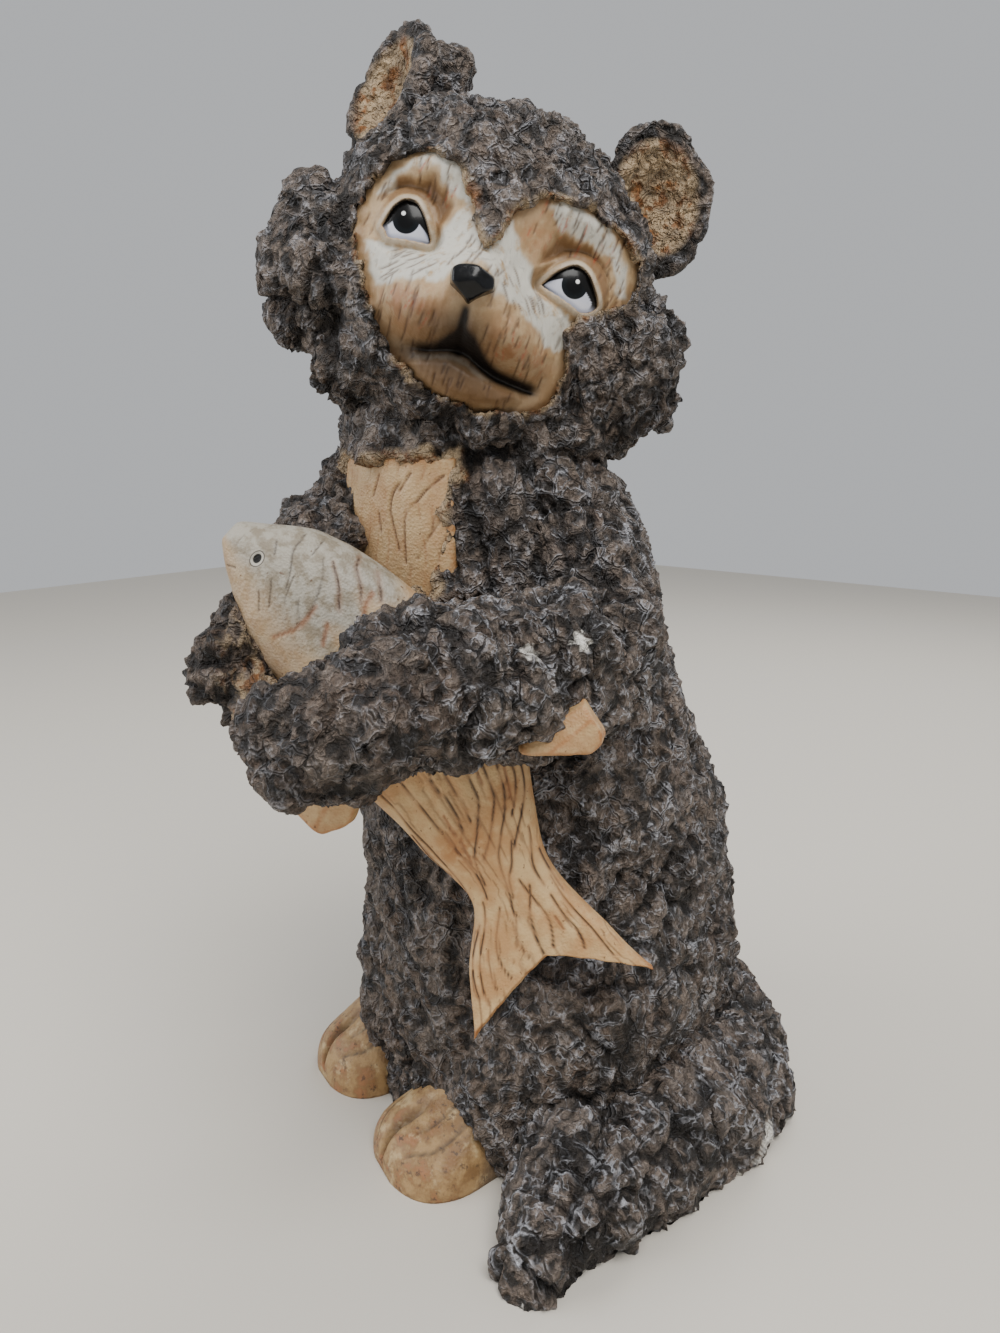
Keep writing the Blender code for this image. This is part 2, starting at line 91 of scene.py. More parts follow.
# The shaggy coat.
# The casting's coat is modelled like rough bark: torn layers and daubed flakes over soft tufts, with deep
# folds between. It is painted dark brown and grey, and its edges are brushed with pale grey, which is partly
# a painted highlight. The shade under its lifted edges is painted in as well.
COAT_SEED = 7
TUFT_SPACING = 19.0
TUFT_HEIGHT = 2.0
TUFT_SWELL = 3.4
FOLD_DEPTH = 2.2
THICK_LAYER = 1.9
THIN_LAYER = 0.9
CRINKLE = 5.2
SCATTER = np.array([[12.9898, 39.346, 73.156], [78.233, 11.135, 52.235], [37.719, 83.155, 9.151]])
SCATTER_REACH = 43758.5453


def smooth_step(value, low, high):
    """0 below low, 1 above high, and a smooth ramp between."""
    t = np.clip((value - low) / (high - low), 0.0, 1.0)
    return t * t * (3.0 - 2.0 * t)


def unit(vectors):
    """Each vector divided by its own length."""
    return vectors / np.maximum(np.linalg.norm(vectors, axis=-1, keepdims=True), 1e-9)


def through(stations, per_span=6):
    """A Catmull-Rom curve through the stations, all of their columns alike."""
    points = np.array(stations, float)
    padded = np.vstack([2 * points[0] - points[1], points, 2 * points[-1] - points[-2]])
    a, b, c, d = (padded[k:len(padded) - 3 + k, None] for k in range(4))
    t = np.linspace(0.0, 1.0, per_span, endpoint=False)[None, :, None]
    spans = 0.5 * (2 * b + (c - a) * t + (2 * a - 5 * b + 4 * c - d) * t**2
                   + (3 * b - a - 3 * c + d) * t**3)
    return np.vstack([spans.reshape(-1, points.shape[1]), points[-1:]])


def grid_faces(rows, columns, wrap):
    """Four corners for each cell of a grid of points, the last column joined to the first if it wraps."""
    i, j = np.meshgrid(np.arange(rows - 1), np.arange(columns if wrap else columns - 1), indexing="ij")
    k = (j + 1) % columns
    corners = [i * columns + j, i * columns + k, (i + 1) * columns + k, (i + 1) * columns + j]
    return np.stack(corners, -1).reshape(-1, 4)


def closed_rings(rings):
    """Faces round a stack of rings, with a fan to the middle of the first ring and of the last."""
    count, around, _ = rings.shape
    points = np.vstack([rings.reshape(-1, 3), rings[0].mean(0), rings[-1].mean(0)])
    j = np.arange(around)
    k = (j + 1) % around
    base = (count - 1) * around
    top = np.stack([np.full(around, count * around), k, j], -1)
    bottom = np.stack([np.full(around, count * around + 1), base + j, base + k], -1)
    return points, grid_faces(count, around, True).tolist() + top.tolist() + bottom.tolist()


def full_turn(count):
    """Even angles, once round."""
    return np.linspace(0, 2 * math.pi, count, endpoint=False)


def ways_out(down, around):
    """Directions out from a middle, for each angle down from the pole and each turn round it."""
    down, turn = down[:, None], full_turn(around)[None, :]
    return np.stack([np.sin(down) * np.cos(turn), np.sin(down) * np.sin(turn), np.cos(down) + 0 * turn], -1)


def ball(centre, radii, axes=np.eye(3)):
    """Rings of a ball, stretched to the radii along the rows of axes."""
    ways = ways_out(np.linspace(0.04, math.pi - 0.04, 24), 36)
    return closed_rings(np.array(centre, float) + (ways * np.array(radii, float)) @ axes)


def limb(stations):
    """A round tube through stations of x, y, z and radius, with ball ends."""
    path = through(stations)
    middle, radius = path[:, :3], path[:, 3:]
    along = unit(np.gradient(middle, axis=0))
    side = unit(np.cross(along, [0.31, 0.22, 0.93]))
    up = np.cross(side, along)
    turn = full_turn(36)[None, :, None]
    spin = np.cos(turn) * up[:, None] + np.sin(turn) * side[:, None]
    tube = middle[:, None] + spin * radius[:, None]
    steps = np.linspace(0.12, 1.45, 7)[:, None, None]
    start = middle[0] - along[0] * radius[0] * np.cos(steps) + spin[0] * radius[0] * np.sin(steps)
    end = middle[-1] + along[-1] * radius[-1] * np.cos(steps) + spin[-1] * radius[-1] * np.sin(steps)
    return closed_rings(np.concatenate([start, tube, end[::-1]]))


def mesh_of(name, points, faces):
    """A mesh of the points and faces, with every face turned outwards."""
    mesh = bpy.data.meshes.new(name)
    mesh.from_pydata(np.asarray(points).tolist(), [], faces if isinstance(faces, list) else faces.tolist())
    turned = bmesh.new()
    turned.from_mesh(mesh)
    bmesh.ops.recalc_face_normals(turned, faces=turned.faces)
    turned.to_mesh(mesh)
    turned.free()
    return mesh


def vertex_values(mesh, kind):
    """The place or the normal of each vertex."""
    values = np.empty(len(mesh.vertices) * 3)
    mesh.vertices.foreach_get(kind, values)
    return values.reshape(-1, 3)


def one_skin(name, shapes, voxel):
    """Overlapping closed shapes made one even skin of squares half a voxel wide: its points, normals and
    faces."""
    points, faces, start = [], [], 0
    for shape_points, shape_faces in shapes:
        points.append(shape_points)
        faces += [[start + k for k in face] for face in shape_faces]
        start += len(shape_points)
    thing = bpy.data.objects.new(name, mesh_of(name, np.vstack(points), faces))
    bpy.context.scene.collection.objects.link(thing)
    fuse = thing.modifiers.new("fuse", "REMESH")
    fuse.mode = "VOXEL"
    fuse.voxel_size = voxel
    soften = thing.modifiers.new("soften", "SMOOTH")
    soften.factor = 0.5
    soften.iterations = 6
    halve = thing.modifiers.new("halve", "SUBSURF")
    halve.levels = halve.render_levels = 1
    mesh = bpy.data.meshes.new_from_object(thing.evaluated_get(bpy.context.evaluated_depsgraph_get()))
    bpy.data.objects.remove(thing, do_unlink=True)
    places, normals = vertex_values(mesh, "co"), vertex_values(mesh, "normal")
    corners = np.empty(len(mesh.loops), np.int32)
    mesh.loops.foreach_get("vertex_index", corners)
    bpy.data.meshes.remove(mesh)
    return places, normals, corners.reshape(-1, 4)


def chance(cubes, seed):
    """Three steady numbers from 0 to 1 for each cube of a grid: the fractions left by steep sines of its
    place."""
    mixed = np.sin(cubes @ SCATTER + seed) * SCATTER_REACH
    return mixed - np.floor(mixed)


def cells(points, size, seed):
    """One point is scattered in each cube of a grid. Gives the nearest one's distance, the next one's, the
    way from the nearest one, and which cube it is in."""
    where = points / size
    corner = np.floor(where)
    near = np.full(len(points), 9.0)
    second = np.full(len(points), 9.0)
    way = np.zeros_like(points)
    cube = np.zeros_like(points)
    for step in np.ndindex(3, 3, 3):
        other = corner + np.array(step) - 1
        gap = where - other - chance(other, seed)
        distance = np.linalg.norm(gap, axis=1)
        closer = distance < near
        second = np.where(closer, near, np.minimum(second, distance))
        way[closer] = gap[closer]
        cube[closer] = other[closer]
        near = np.where(closer, distance, near)
    return near, second, way, cube


def cloud(points, size, seed):
    """Smooth noise from 0 to 1: the chances at the eight corners of a grid's cube, blended by place."""
    where = points / size
    corner = np.floor(where)
    part = where - corner
    part = part * part * (3 - 2 * part)
    total = np.zeros(len(points))
    for step in np.ndindex(2, 2, 2):
        share = np.prod(np.where(np.array(step) == 1, part, 1 - part), axis=1)
        total += share * chance(corner + np.array(step), seed)[:, 0]
    return total


def crinkle(points, size, seed):
    """1 on crests as thin as creased paper's, where a cloud passes through its middle, and 0 between them."""
    return 1 - np.abs(2 * cloud(points, size, seed) - 1)


def drifts(points, size, seeds):
    """A cloud for each seed, side by side, each from -0.5 to 0.5."""
    return np.stack([cloud(points, size, seed) for seed in seeds], -1) - 0.5


def layers(points, size, count, seed):
    """Flat steps with torn edges, climbing a cloud: how many steps up, the lip over each edge, which takes a
    painted highlight, and the foot under it, which takes painted shade."""
    climb = count * cloud(points, size, seed)
    part = climb - np.floor(climb)
    lip = smooth_step(part, 0.86, 0.98) + (part < 0.5) * (1 - smooth_step(part, 0.0, 0.14))
    shade_foot = smooth_step(part, 0.5, 0.74) * (1 - smooth_step(part, 0.78, 0.9))
    return np.floor(climb) + 0.15 * part + 0.85 * smooth_step(part, 0.78, 1.0), lip, shade_foot


def coat_relief(points, flake, seed):
    """Height over the plain skin, with the paint's masks: crests, dry-brushed and with a painted highlight,
    hollows, with dark folds and painted shade under edges, and a tone for each flake.

    Rolling tufts have a few deep folds between. Over them lie layers of bark with torn edges at two sizes,
    daubed flakes that lean outwards at their lower edge, and thin ridges like torn paper's."""
    drift = drifts(points, 9.0, range(seed + 21, seed + 24))
    bent = points + 7.0 * drift
    near, second, _, _ = cells(bent * np.array([1.1, 1.1, 0.8]), TUFT_SPACING, COAT_SEED)
    fold = np.exp(-(((second - near) / 0.09) ** 2)) * smooth_step(cloud(points, 26.0, 3), 0.42, 0.62)
    swelling = cloud(bent, 10.0, seed + 5) - 0.5
    tuft = TUFT_HEIGHT * (0.4 - near**2) - FOLD_DEPTH * fold + TUFT_SWELL * swelling

    frayed = points + 5.0 * drift + 3.2 * drifts(points, 3.6, range(seed + 31, seed + 34))
    near, second, way, cube = cells(frayed * np.array([1.2, 1.2, 0.75]), flake, seed)
    luck = chance(cube, seed + 3)
    lean = unit((luck - 0.5) * 2.4 - np.array([0.0, 0.0, 0.7]))
    tilt = (way * lean).sum(1)
    beside = np.exp(-(((second - near - 0.12) / 0.16) ** 2))
    lifted = smooth_step(tilt, 0.05, 0.4) * beside * (luck[:, 1] > 0.3)
    plate = flake * 0.09 * tilt + 0.7 * lifted
    broad, small = (crinkle(frayed * np.array([1.25, 1.25, 0.75]), size, seed + k)
                    for size, k in ((CRINKLE, 13), (0.58 * CRINKLE, 17)))
    flattened = frayed * np.array([1.15, 1.15, 0.8])
    thick, thick_lit_lip, thick_shade_foot = layers(flattened, 1.35 * flake, 3.2, seed + 41)
    thin, thin_lit_lip, thin_shade_foot = layers(flattened, 0.75 * flake, 2.6, seed + 43)
    height = (tuft + plate + THICK_LAYER * (thick - 1.6) + THIN_LAYER * (thin - 1.3)
              + 1.1 * broad**4 + 0.8 * small**3 + 0.5)

    # The ridge is dry-brushed pale grey, and on the lips of the layers it is a painted highlight too.
    ridge = 0.5 * lifted + 0.8 * thick_lit_lip + 0.45 * thin_lit_lip + 0.5 * broad**8 + 0.3 * small**8 - 0.6 * fold
    # The hollow is dark in the folds and troughs, and painted shade under the layers' edges and the flakes.
    hollow = (0.9 * fold + 0.9 * thick_shade_foot + 0.5 * thin_shade_foot + 0.3 * (1 - smooth_step(small, 0.1, 0.5))
              + 0.5 * smooth_step(-tilt, 0.15, 0.5))
    return height, np.clip(ridge, 0, 1), np.clip(hollow, 0, 1), luck[:, 1]


def add_masks(mesh, masks):
    """Each mask is kept on the mesh as one number for each vertex."""
    for name, values in masks.items():
        layer = mesh.attributes.new(name=name, type="FLOAT", domain="POINT")
        layer.data.foreach_set("value", np.ascontiguousarray(values, np.float32))


def finished(name, points, faces, material, masks):
    """A finished piece in its place: no point below the ground, smooth, with its masks and its material, and
    riding on the figure."""
    placed = to_metres(points)
    placed[:, 2] = np.maximum(placed[:, 2], 0.0)
    mesh = mesh_of(name, placed, faces)
    mesh.polygons.foreach_set("use_smooth", np.ones(len(mesh.polygons), bool))
    add_masks(mesh, masks)
    mesh.materials.append(material)
    piece = bpy.data.objects.new(name, mesh)
    bpy.context.scene.collection.objects.link(piece)
    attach(piece, "root")
    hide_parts("bear_with_fish")


def new_group(name, inputs, outputs):
    """An empty shader node group with named inputs, each a number or a vector, and outputs, all numbers."""
    group = bpy.data.node_groups.new(name, "ShaderNodeTree")
    for label, value in inputs.items():
        kind = "NodeSocketVector" if isinstance(value, tuple) else "NodeSocketFloat"
        group.interface.new_socket(label, in_out="INPUT", socket_type=kind).default_value = value
    for label in outputs:
        group.interface.new_socket(label, in_out="OUTPUT", socket_type="NodeSocketFloat")
    return group, group.nodes.new("NodeGroupInput").outputs, group.nodes.new("NodeGroupOutput").inputs


def put(tree, kind, links=None, **settings):
    """A node with its settings, and its inputs fed by sockets or set to values."""
    node = tree.nodes.new(kind)
    for key, value in settings.items():
        setattr(node, key, value)
    for key, source in (links or {}).items():
        if isinstance(source, bpy.types.NodeSocket):
            tree.links.new(source, node.inputs[key])
        else:
            node.inputs[key].default_value = source
    return node


def reckon(tree, a, b, operation, c=0.0, clamp=False):
    """One step of reckoning with numbers or sockets."""
    return put(tree, "ShaderNodeMath", {0: a, 1: b, 2: c}, operation=operation, use_clamp=clamp).outputs[0]


def ramp(tree, value, low, high, kind="LINEAR"):
    """0 at one level and 1 at the other, and held there beyond them."""
    return put(tree, "ShaderNodeMapRange", {"Value": value, "From Min": low, "From Max": high},
               interpolation_type=kind).outputs[0]


def speckle_group():
    """Soft spots of a chosen size: a noise in Object coordinates, stretched to a mask between two levels."""
    group, start, end = new_group("speckle", {"Size": 0.01, "Low": 0.4, "High": 0.6, "Detail": 4.0},
                                  ("Mask", "Raw"))
    where = put(group, "ShaderNodeTexCoord").outputs["Object"]
    scale = reckon(group, 1.0, start["Size"], "DIVIDE")
    noise = put(group, "ShaderNodeTexNoise", {"Vector": where, "Scale": scale, "Detail": start["Detail"],
                                              "Roughness": 0.6}).outputs["Fac"]
    group.links.new(ramp(group, noise, start["Low"], start["High"], "SMOOTHSTEP"), end["Mask"])
    group.links.new(noise, end["Raw"])
    return group


def grain_group():
    """Fine crust for a bump: a noise and small cells added together, in Object coordinates."""
    group, start, end = new_group("grain", {"Size": 0.001, "Stretch": (1.0, 1.0, 1.0)}, ("Height",))
    where = put(group, "ShaderNodeTexCoord").outputs["Object"]
    drawn = put(group, "ShaderNodeVectorMath", {0: where, 1: start["Stretch"]}, operation="MULTIPLY")
    read = {"Vector": drawn.outputs[0], "Scale": reckon(group, 1.0, start["Size"], "DIVIDE")}
    noise = put(group, "ShaderNodeTexNoise", {**read, "Detail": 5.0, "Roughness": 0.65})
    cell = put(group, "ShaderNodeTexVoronoi", read)
    both = reckon(group, noise.outputs["Fac"], cell.outputs["Distance"], "ADD")
    group.links.new(both, end["Height"])
    return group


SPECKLE = speckle_group()
GRAIN = grain_group()


def speckle(tree, size, low=0.4, high=0.6, detail=4.0, raw=False):
    """The speckle group's mask, or its noise as it comes."""
    node = put(tree, "ShaderNodeGroup", {"Size": size, "Low": low, "High": high, "Detail": detail},
               node_tree=SPECKLE)
    return node.outputs["Raw" if raw else "Mask"]


def bumped(tree, shader, height, strength, depth):
    """A height made a bump on the shader's normal."""
    bump = put(tree, "ShaderNodeBump", {"Height": height, "Strength": strength, "Distance": depth})
    tree.links.new(bump.outputs["Normal"], shader.inputs["Normal"])


def grain(tree, size, stretch=1.0):
    """The grain group's height, its pattern squeezed upwards by the stretch."""
    return put(tree, "ShaderNodeGroup", {"Size": size, "Stretch": (1.0, 1.0, stretch)},
               node_tree=GRAIN).outputs["Height"]


def mask_of(tree, name):
    """A mask kept on the mesh."""
    return put(tree, "ShaderNodeAttribute", attribute_name=name).outputs["Fac"]


def product(tree, *parts):
    """Numbers, sockets and masks kept on the mesh, by name, multiplied together and held between 0 and 1."""
    result, *others = (mask_of(tree, part) if isinstance(part, str) else part for part in parts)
    for part in others:
        result = reckon(tree, result, part, "MULTIPLY", clamp=True)
    return result


def colour(code):
    """A colour written as red, green and blue in hexadecimal, as the shader's linear values."""
    parts = np.array([int(code[k:k + 2], 16) for k in (0, 2, 4)]) / 255.0
    linear = np.where(parts <= 0.04045, parts / 12.92, ((parts + 0.055) / 1.055) ** 2.4)
    return (*linear.tolist(), 1.0)


def painted(tree, base, *coats):
    """Coats of paint over a base. Each coat is its colour, written as a code or taken from a socket, and the
    parts whose product is the mask of where it lies."""
    for paint, *parts in coats:
        base, paint = (colour(one) if isinstance(one, str) else one for one in (base, paint))
        base = put(tree, "ShaderNodeMix", {0: product(tree, *parts), 6: base, 7: paint},
                   data_type="RGBA").outputs[2]
    return base


def new_material(name, roughness, specular=0.5, enamel=0.0, enamel_roughness=0.03):
    """A finish with its constants on the shader's own sockets; enamel is a clear coat over the paint."""
    material = bpy.data.materials.new(name)
    material.use_nodes = True
    shader = material.node_tree.nodes["Principled BSDF"]
    for label, value in (("Roughness", roughness), ("Specular IOR Level", specular), ("Coat Weight", enamel),
                         ("Coat Roughness", enamel_roughness)):
        shader.inputs[label].default_value = value
    return material, material.node_tree, shader


def creased_group():
    """Relief finer than the mesh. Net is 1 on sharp crests, where a torn noise passes through its middle.
    Strands and Hairs are the same, drawn out along one direction. Crack is 1 between plates with jagged
    outlines, and Rim is 1 beside it. Crust is a ridged noise, high on its crests and 0 in its pits."""
    group, start, end = new_group("creased", {"Size": 0.004, "Plate": 0.009},
                                  ("Net", "Strands", "Hairs", "Rim", "Crack", "Crust"))

    def times(a, b):
        return reckon(group, a, b, "MULTIPLY")

    def step(value, low, high):
        return ramp(group, value, low, high, "SMOOTHSTEP")

    def moved(operation, links):
        return put(group, "ShaderNodeVectorMath", links, operation=operation).outputs[0]

    def shifted(where, scale, reach):
        noise = put(group, "ShaderNodeTexNoise", {"Vector": where, "Scale": scale, "Detail": 2.0})
        push = moved("SUBTRACT", {0: noise.outputs["Color"], 1: (0.5, 0.5, 0.5)})
        return moved("ADD", {0: where, 1: moved("SCALE", {0: push, "Scale": reach})})

    def crests(where, scale, width, detail):
        noise = put(group, "ShaderNodeTexNoise", {"Vector": where, "Scale": scale, "Detail": detail,
                                                  "Roughness": 0.45}).outputs["Fac"]
        off_middle = reckon(group, reckon(group, noise, 0.5, "SUBTRACT"), 0.0, "ABSOLUTE")
        return step(off_middle, width, 0.0)

    size = start["Size"]
    where = put(group, "ShaderNodeTexCoord").outputs["Object"]
    scale = reckon(group, 1.0, size, "DIVIDE")
    bent = shifted(where, times(scale, 0.22), times(size, 5.5))
    drawn = put(group, "ShaderNodeMapping", {"Vector": bent, "Rotation": (-0.6, -0.3, 0.0),
                                             "Scale": (1.0, 1.0, 4.0)}, vector_type="TEXTURE").outputs[0]
    torn = shifted(where, times(scale, 0.9), times(size, 0.9))
    plates = reckon(group, 1.0, start["Plate"], "DIVIDE")
    edge = put(group, "ShaderNodeTexVoronoi", {"Vector": torn, "Scale": plates},
               feature="DISTANCE_TO_EDGE").outputs["Distance"]
    broken = put(group, "ShaderNodeTexNoise", {"Vector": where, "Scale": times(scale, 0.45), "Detail": 1.0})
    broken = step(broken.outputs["Fac"], 0.42, 0.58)
    ridged = put(group, "ShaderNodeTexNoise",
                 {"Vector": torn, "Scale": times(scale, 0.7), "Detail": 4.0, "Roughness": 0.6,
                  "Lacunarity": 2.1, "Offset": 1.0, "Gain": 1.6},
                 noise_type="RIDGED_MULTIFRACTAL", normalize=False).outputs["Fac"]
    for name, output in (("Net", crests(torn, times(scale, 0.8), 0.045, 3.0)),
                         ("Strands", crests(drawn, times(scale, 1.9), 0.12, 1.0)),
                         ("Hairs", crests(drawn, times(scale, 4.3), 0.2, 0.0)),
                         ("Rim", times(times(step(edge, 0.015, 0.04), step(edge, 0.11, 0.04)), broken)),
                         ("Crack", times(step(edge, 0.035, 0.0), broken)),
                         ("Crust", ramp(group, ridged, 0.3, 1.9))):
        group.links.new(output, end[name])
    return group


CREASED = creased_group()


def coat_paint(name, plate, hair, brown):
    """Dark brown and grey in patches, nearly black in the pits and cracks, darker in the hollows, partly as
    painted shade, lighter brown on the crests, and pale grey on those that the brush caught, partly a bluish
    painted highlight. Plate is the flakes' size, and hair the strands' strength."""
    material, tree, shader = new_material(name, 0.6, 0.4)
    creased = put(tree, "ShaderNodeGroup", {"Size": 0.0046, "Plate": plate}, node_tree=CREASED).outputs

    def weighed(parts, clamp=True):
        total = 0.0
        for label, weight in parts:
            total = reckon(tree, creased[label], weight, "MULTIPLY_ADD", total, clamp)
        return total

    crest = weighed([("Net", 0.56), ("Strands", 0.55 * hair), ("Rim", 0.6)])
    fine = weighed([("Strands", hair), ("Hairs", 0.7 * hair)])
    raised = weighed([("Strands", 0.7), ("Net", 0.9), ("Hairs", 0.4), ("Rim", 1.0)])
    brushed_and_lit = reckon(tree, mask_of(tree, "ridge"), 1.5, "MULTIPLY_ADD", 0.12, True)
    ochre = painted(tree, "bba382", ("87592f", speckle(tree, 0.006, 0.48, 0.62)))
    under = painted(
        tree, "524337",
        ("706056", speckle(tree, 0.012, 0.35, 0.65)),
        (brown, "warm", speckle(tree, 0.016, 0.3, 0.6)),
        ("8a8077", "tone", 0.5),
        ("85745f", fine, 0.25),
        ("95867a", reckon(tree, creased["Crust"], 4.0, "POWER"), 0.65),
        ("0f0b08", ramp(tree, creased["Crust"], 0.5, 0.2), 0.9),
        ("17120e", reckon(tree, 1.0, raised, "SUBTRACT"), 0.5),
        ("14100d", creased["Crack"], 0.6),
        # Dark in the folds and troughs, with painted shade under the lifted edges of the layers and flakes.
        ("110d0b", "hollow", 0.9),
        # Pale grey dry-brushed on the crests, bluish as a painted highlight, most of all on the layers' lips.
        ("c8c9d0", brushed_and_lit, "brush", speckle(tree, 0.008, 0.38, 0.52), crest),
        (ochre, "tan", speckle(tree, 0.003, 0.2, 0.45)),
        ("ece8e0", "chip"))
    tree.links.new(under, shader.inputs["Base Color"])
    height = weighed([("Net", 0.56), ("Strands", 0.6 * hair), ("Hairs", 0.25 * hair), ("Rim", 0.9),
                      ("Crack", -0.6), ("Crust", 1.5)], False)
    height = reckon(tree, speckle(tree, 0.0013, detail=3.0, raw=True), 0.9, "MULTIPLY_ADD", height)
    bumped(tree, shader, height, 1.0, 0.0017)
    return material


BODY_PAINT = coat_paint("body_paint", 0.010, 0.2, "5e4936")
ARM_PAINT = coat_paint("arm_paint", 0.010, 0.16, "4f3a2b")
TAIL_PAINT = coat_paint("tail_paint", 0.016, 0.1, "5a4737")
HEAD_PAINT = coat_paint("head_paint", 0.009, 0.35, "624c38")


def coat_masks(points, ridge, hollow, tone, brush, warm):
    """The coat's masks, with none of the tan, and no chips."""
    blank = np.zeros(len(points))
    return {"ridge": ridge, "hollow": hollow, "tone": tone, "brush": blank + brush, "warm": blank + warm,
            "tan": blank, "chip": blank}


def chipped(points, chips):
    """White spots where the casting's own plaster shows: balls at their places, with ragged edges."""
    mask = np.zeros(len(points))
    for x, y, z, radius in chips:
        away = np.linalg.norm(points - np.array([x, y, z]), axis=1)
        away = away + 0.35 * radius * np.sin(points.sum(1) * 2.7) * np.sin(points[:, 0] * 3.1)
        mask = np.maximum(mask, 1 - smooth_step(away, 0.75 * radius, radius))
    return mask


# The body.
# The torso and haunches are one mass with the coat over them, hollow inside and closed flat below.
# The coat is greyer high up and browner low in front.
TORSO = [
    (3, 9, -6, 62, 66), (4, 12, 25, 69, 73), (5, 12, 60, 72, 77), (5, 10, 92, 71, 76), (4, 6, 122, 69, 72),
    (1, -2, 158, 62, 62), (-3, -10, 195, 56, 56), (-6, -17, 222, 54, 52), (-6, -24, 246, 46, 46),
    (-4, -27, 272, 41, 42), (0, -27, 298, 38, 38),
]
LEFT_LEG = [(44, -22, 60, 38), (42, -30, 42, 34), (30, -42, 20, 26)]
RIGHT_LEG = [(-21, -23, 72, 33), (-24, -31, 44, 28), (-30, -31, 22, 22)]
CHEST_TURN = (-30.0, 35.0)
CHEST_HEIGHT = (206.0, 251.0)
CHEST_RECESS = 1.5
CHEST_AXIS = (-8.0, -20.0)


def torso():
    """Level ellipses through the torso's stations."""
    path = through(TORSO)
    turn = full_turn(60)[None, :]
    x = path[:, :1] + path[:, 3:4] * np.cos(turn)
    y = path[:, 1:2] + path[:, 4:5] * np.sin(turn)
    return closed_rings(np.stack([x, y, path[:, 2:3] + 0 * turn], -1))


def chest_share(points):
    """1 on the bare patch of the chest and 0 off it, with a ragged edge."""
    x, y = points[:, 0] - CHEST_AXIS[0], points[:, 1] - CHEST_AXIS[1]
    ragged = 9.0 * (cloud(points, 6.0, 109) - 0.5) + 4.0 * (cloud(points, 2.5, 110) - 0.5)
    angle = np.degrees(np.arctan2(x, -y)) + ragged
    level = points[:, 2] + ragged
    inside = smooth_step(angle, CHEST_TURN[0] - 4, CHEST_TURN[0] + 4)
    leaning = angle + 0.22 * (CHEST_HEIGHT[1] - points[:, 2])
    inside = inside * (1 - smooth_step(leaning, CHEST_TURN[1] - 3, CHEST_TURN[1] + 3))
    inside = inside * smooth_step(level, CHEST_HEIGHT[0] - 3, CHEST_HEIGHT[0] + 3)
    return inside * (1 - smooth_step(level, CHEST_HEIGHT[1] - 3, CHEST_HEIGHT[1] + 3)) * (np.hypot(x, y) < 62)


points, normals, faces = one_skin("body", [torso(), limb(LEFT_LEG), limb(RIGHT_LEG)], 2.95)
height, ridge, hollow, tone = coat_relief(points, 11.0, 11)
bare = chest_share(points)
rim = np.clip(4 * bare * (1 - bare), 0, 1)
height = height * (1 - bare) - 3.0 * bare + 2.4 * rim
front = smooth_step(-points[:, 1], -20, 40)
warm = 0.25 + 0.75 * (1 - smooth_step(points[:, 2], 60, 150)) * front
brush = 0.5 + 0.4 * smooth_step(points[:, 0], 10, 60)
masks = coat_masks(points, ridge, hollow, tone, brush, warm)
masks["tan"] = np.maximum(0.9 * rim, smooth_step(bare, 0.4, 0.8))
finished("coat_body", points + normals * height[:, None], faces, BODY_PAINT, masks)

# The arms.
# Both arms are modelled round the fish, the left one across its middle and the right one up behind its head.
# Their paws are knuckles with no claws, browner than the arms; the right paw is scraped to tan at the fish.
LEFT_ARM = [
    (22, -18, 237, 24), (34, -18, 220, 25), (44, -22, 202, 26), (51, -36, 189, 25), (53, -61, 188, 25),
    (51, -85, 189, 24.5), (46, -105, 190, 23), (40, -120, 186, 20), (35, -130, 181, 17),
]
RIGHT_ARM = [(-35, -40, 236, 24), (-38, -65, 212, 23), (-31, -83, 190, 21), (-24, -102, 186, 18)]
LEFT_PAW = [(27, -137, 182, 11), (30, -134, 173, 11), (34, -126, 168, 10)]
RIGHT_PAW = [(-22, -115, 197, 12), (-24, -117, 186, 12.5), (-15, -115, 177, 12)]
ELBOW_CHIPS = [(72, -86, 202, 3.1), (74, -70, 201, 2.9)]


def coat_limb(name, stations, knuckles, voxel, flake, seed, brush, paint, warm_of, tan_of=None, chips=()):
    """A limb's coat: its tube and its knuckles in one skin, pushed out along its normals by the relief."""
    shapes = [limb(stations)] + [ball(place, (radius,) * 3) for *place, radius in knuckles]
    points, normals, faces = one_skin(name, shapes, voxel)
    height, ridge, hollow, tone = coat_relief(points, flake, seed)
    warm = warm_of(points)
    masks = coat_masks(points, ridge, hollow, tone, brush * (1 - 0.6 * np.clip(warm, 0, 1)), warm)
    if tan_of is not None:
        masks["tan"] = tan_of(points) * smooth_step(ridge, 0.05, 0.5)
    masks["chip"] = chipped(points, chips)
    finished(name, points + normals * height[:, None], faces, paint, masks)


coat_limb("coat_left_arm", LEFT_ARM, LEFT_PAW, 1.7, 10.0, 23, 1.0, ARM_PAINT,
          lambda p: smooth_step(-p[:, 1], 105, 130) + 0.5 * smooth_step(-p[:, 2], -178, -166),
          None, ELBOW_CHIPS)
coat_limb("coat_right_arm", RIGHT_ARM, RIGHT_PAW, 1.75, 8.0, 31, 0.5, ARM_PAINT,
          lambda p: smooth_step(-p[:, 1], 70, 100), lambda p: 0.7 * smooth_step(p[:, 0], -20, -12))

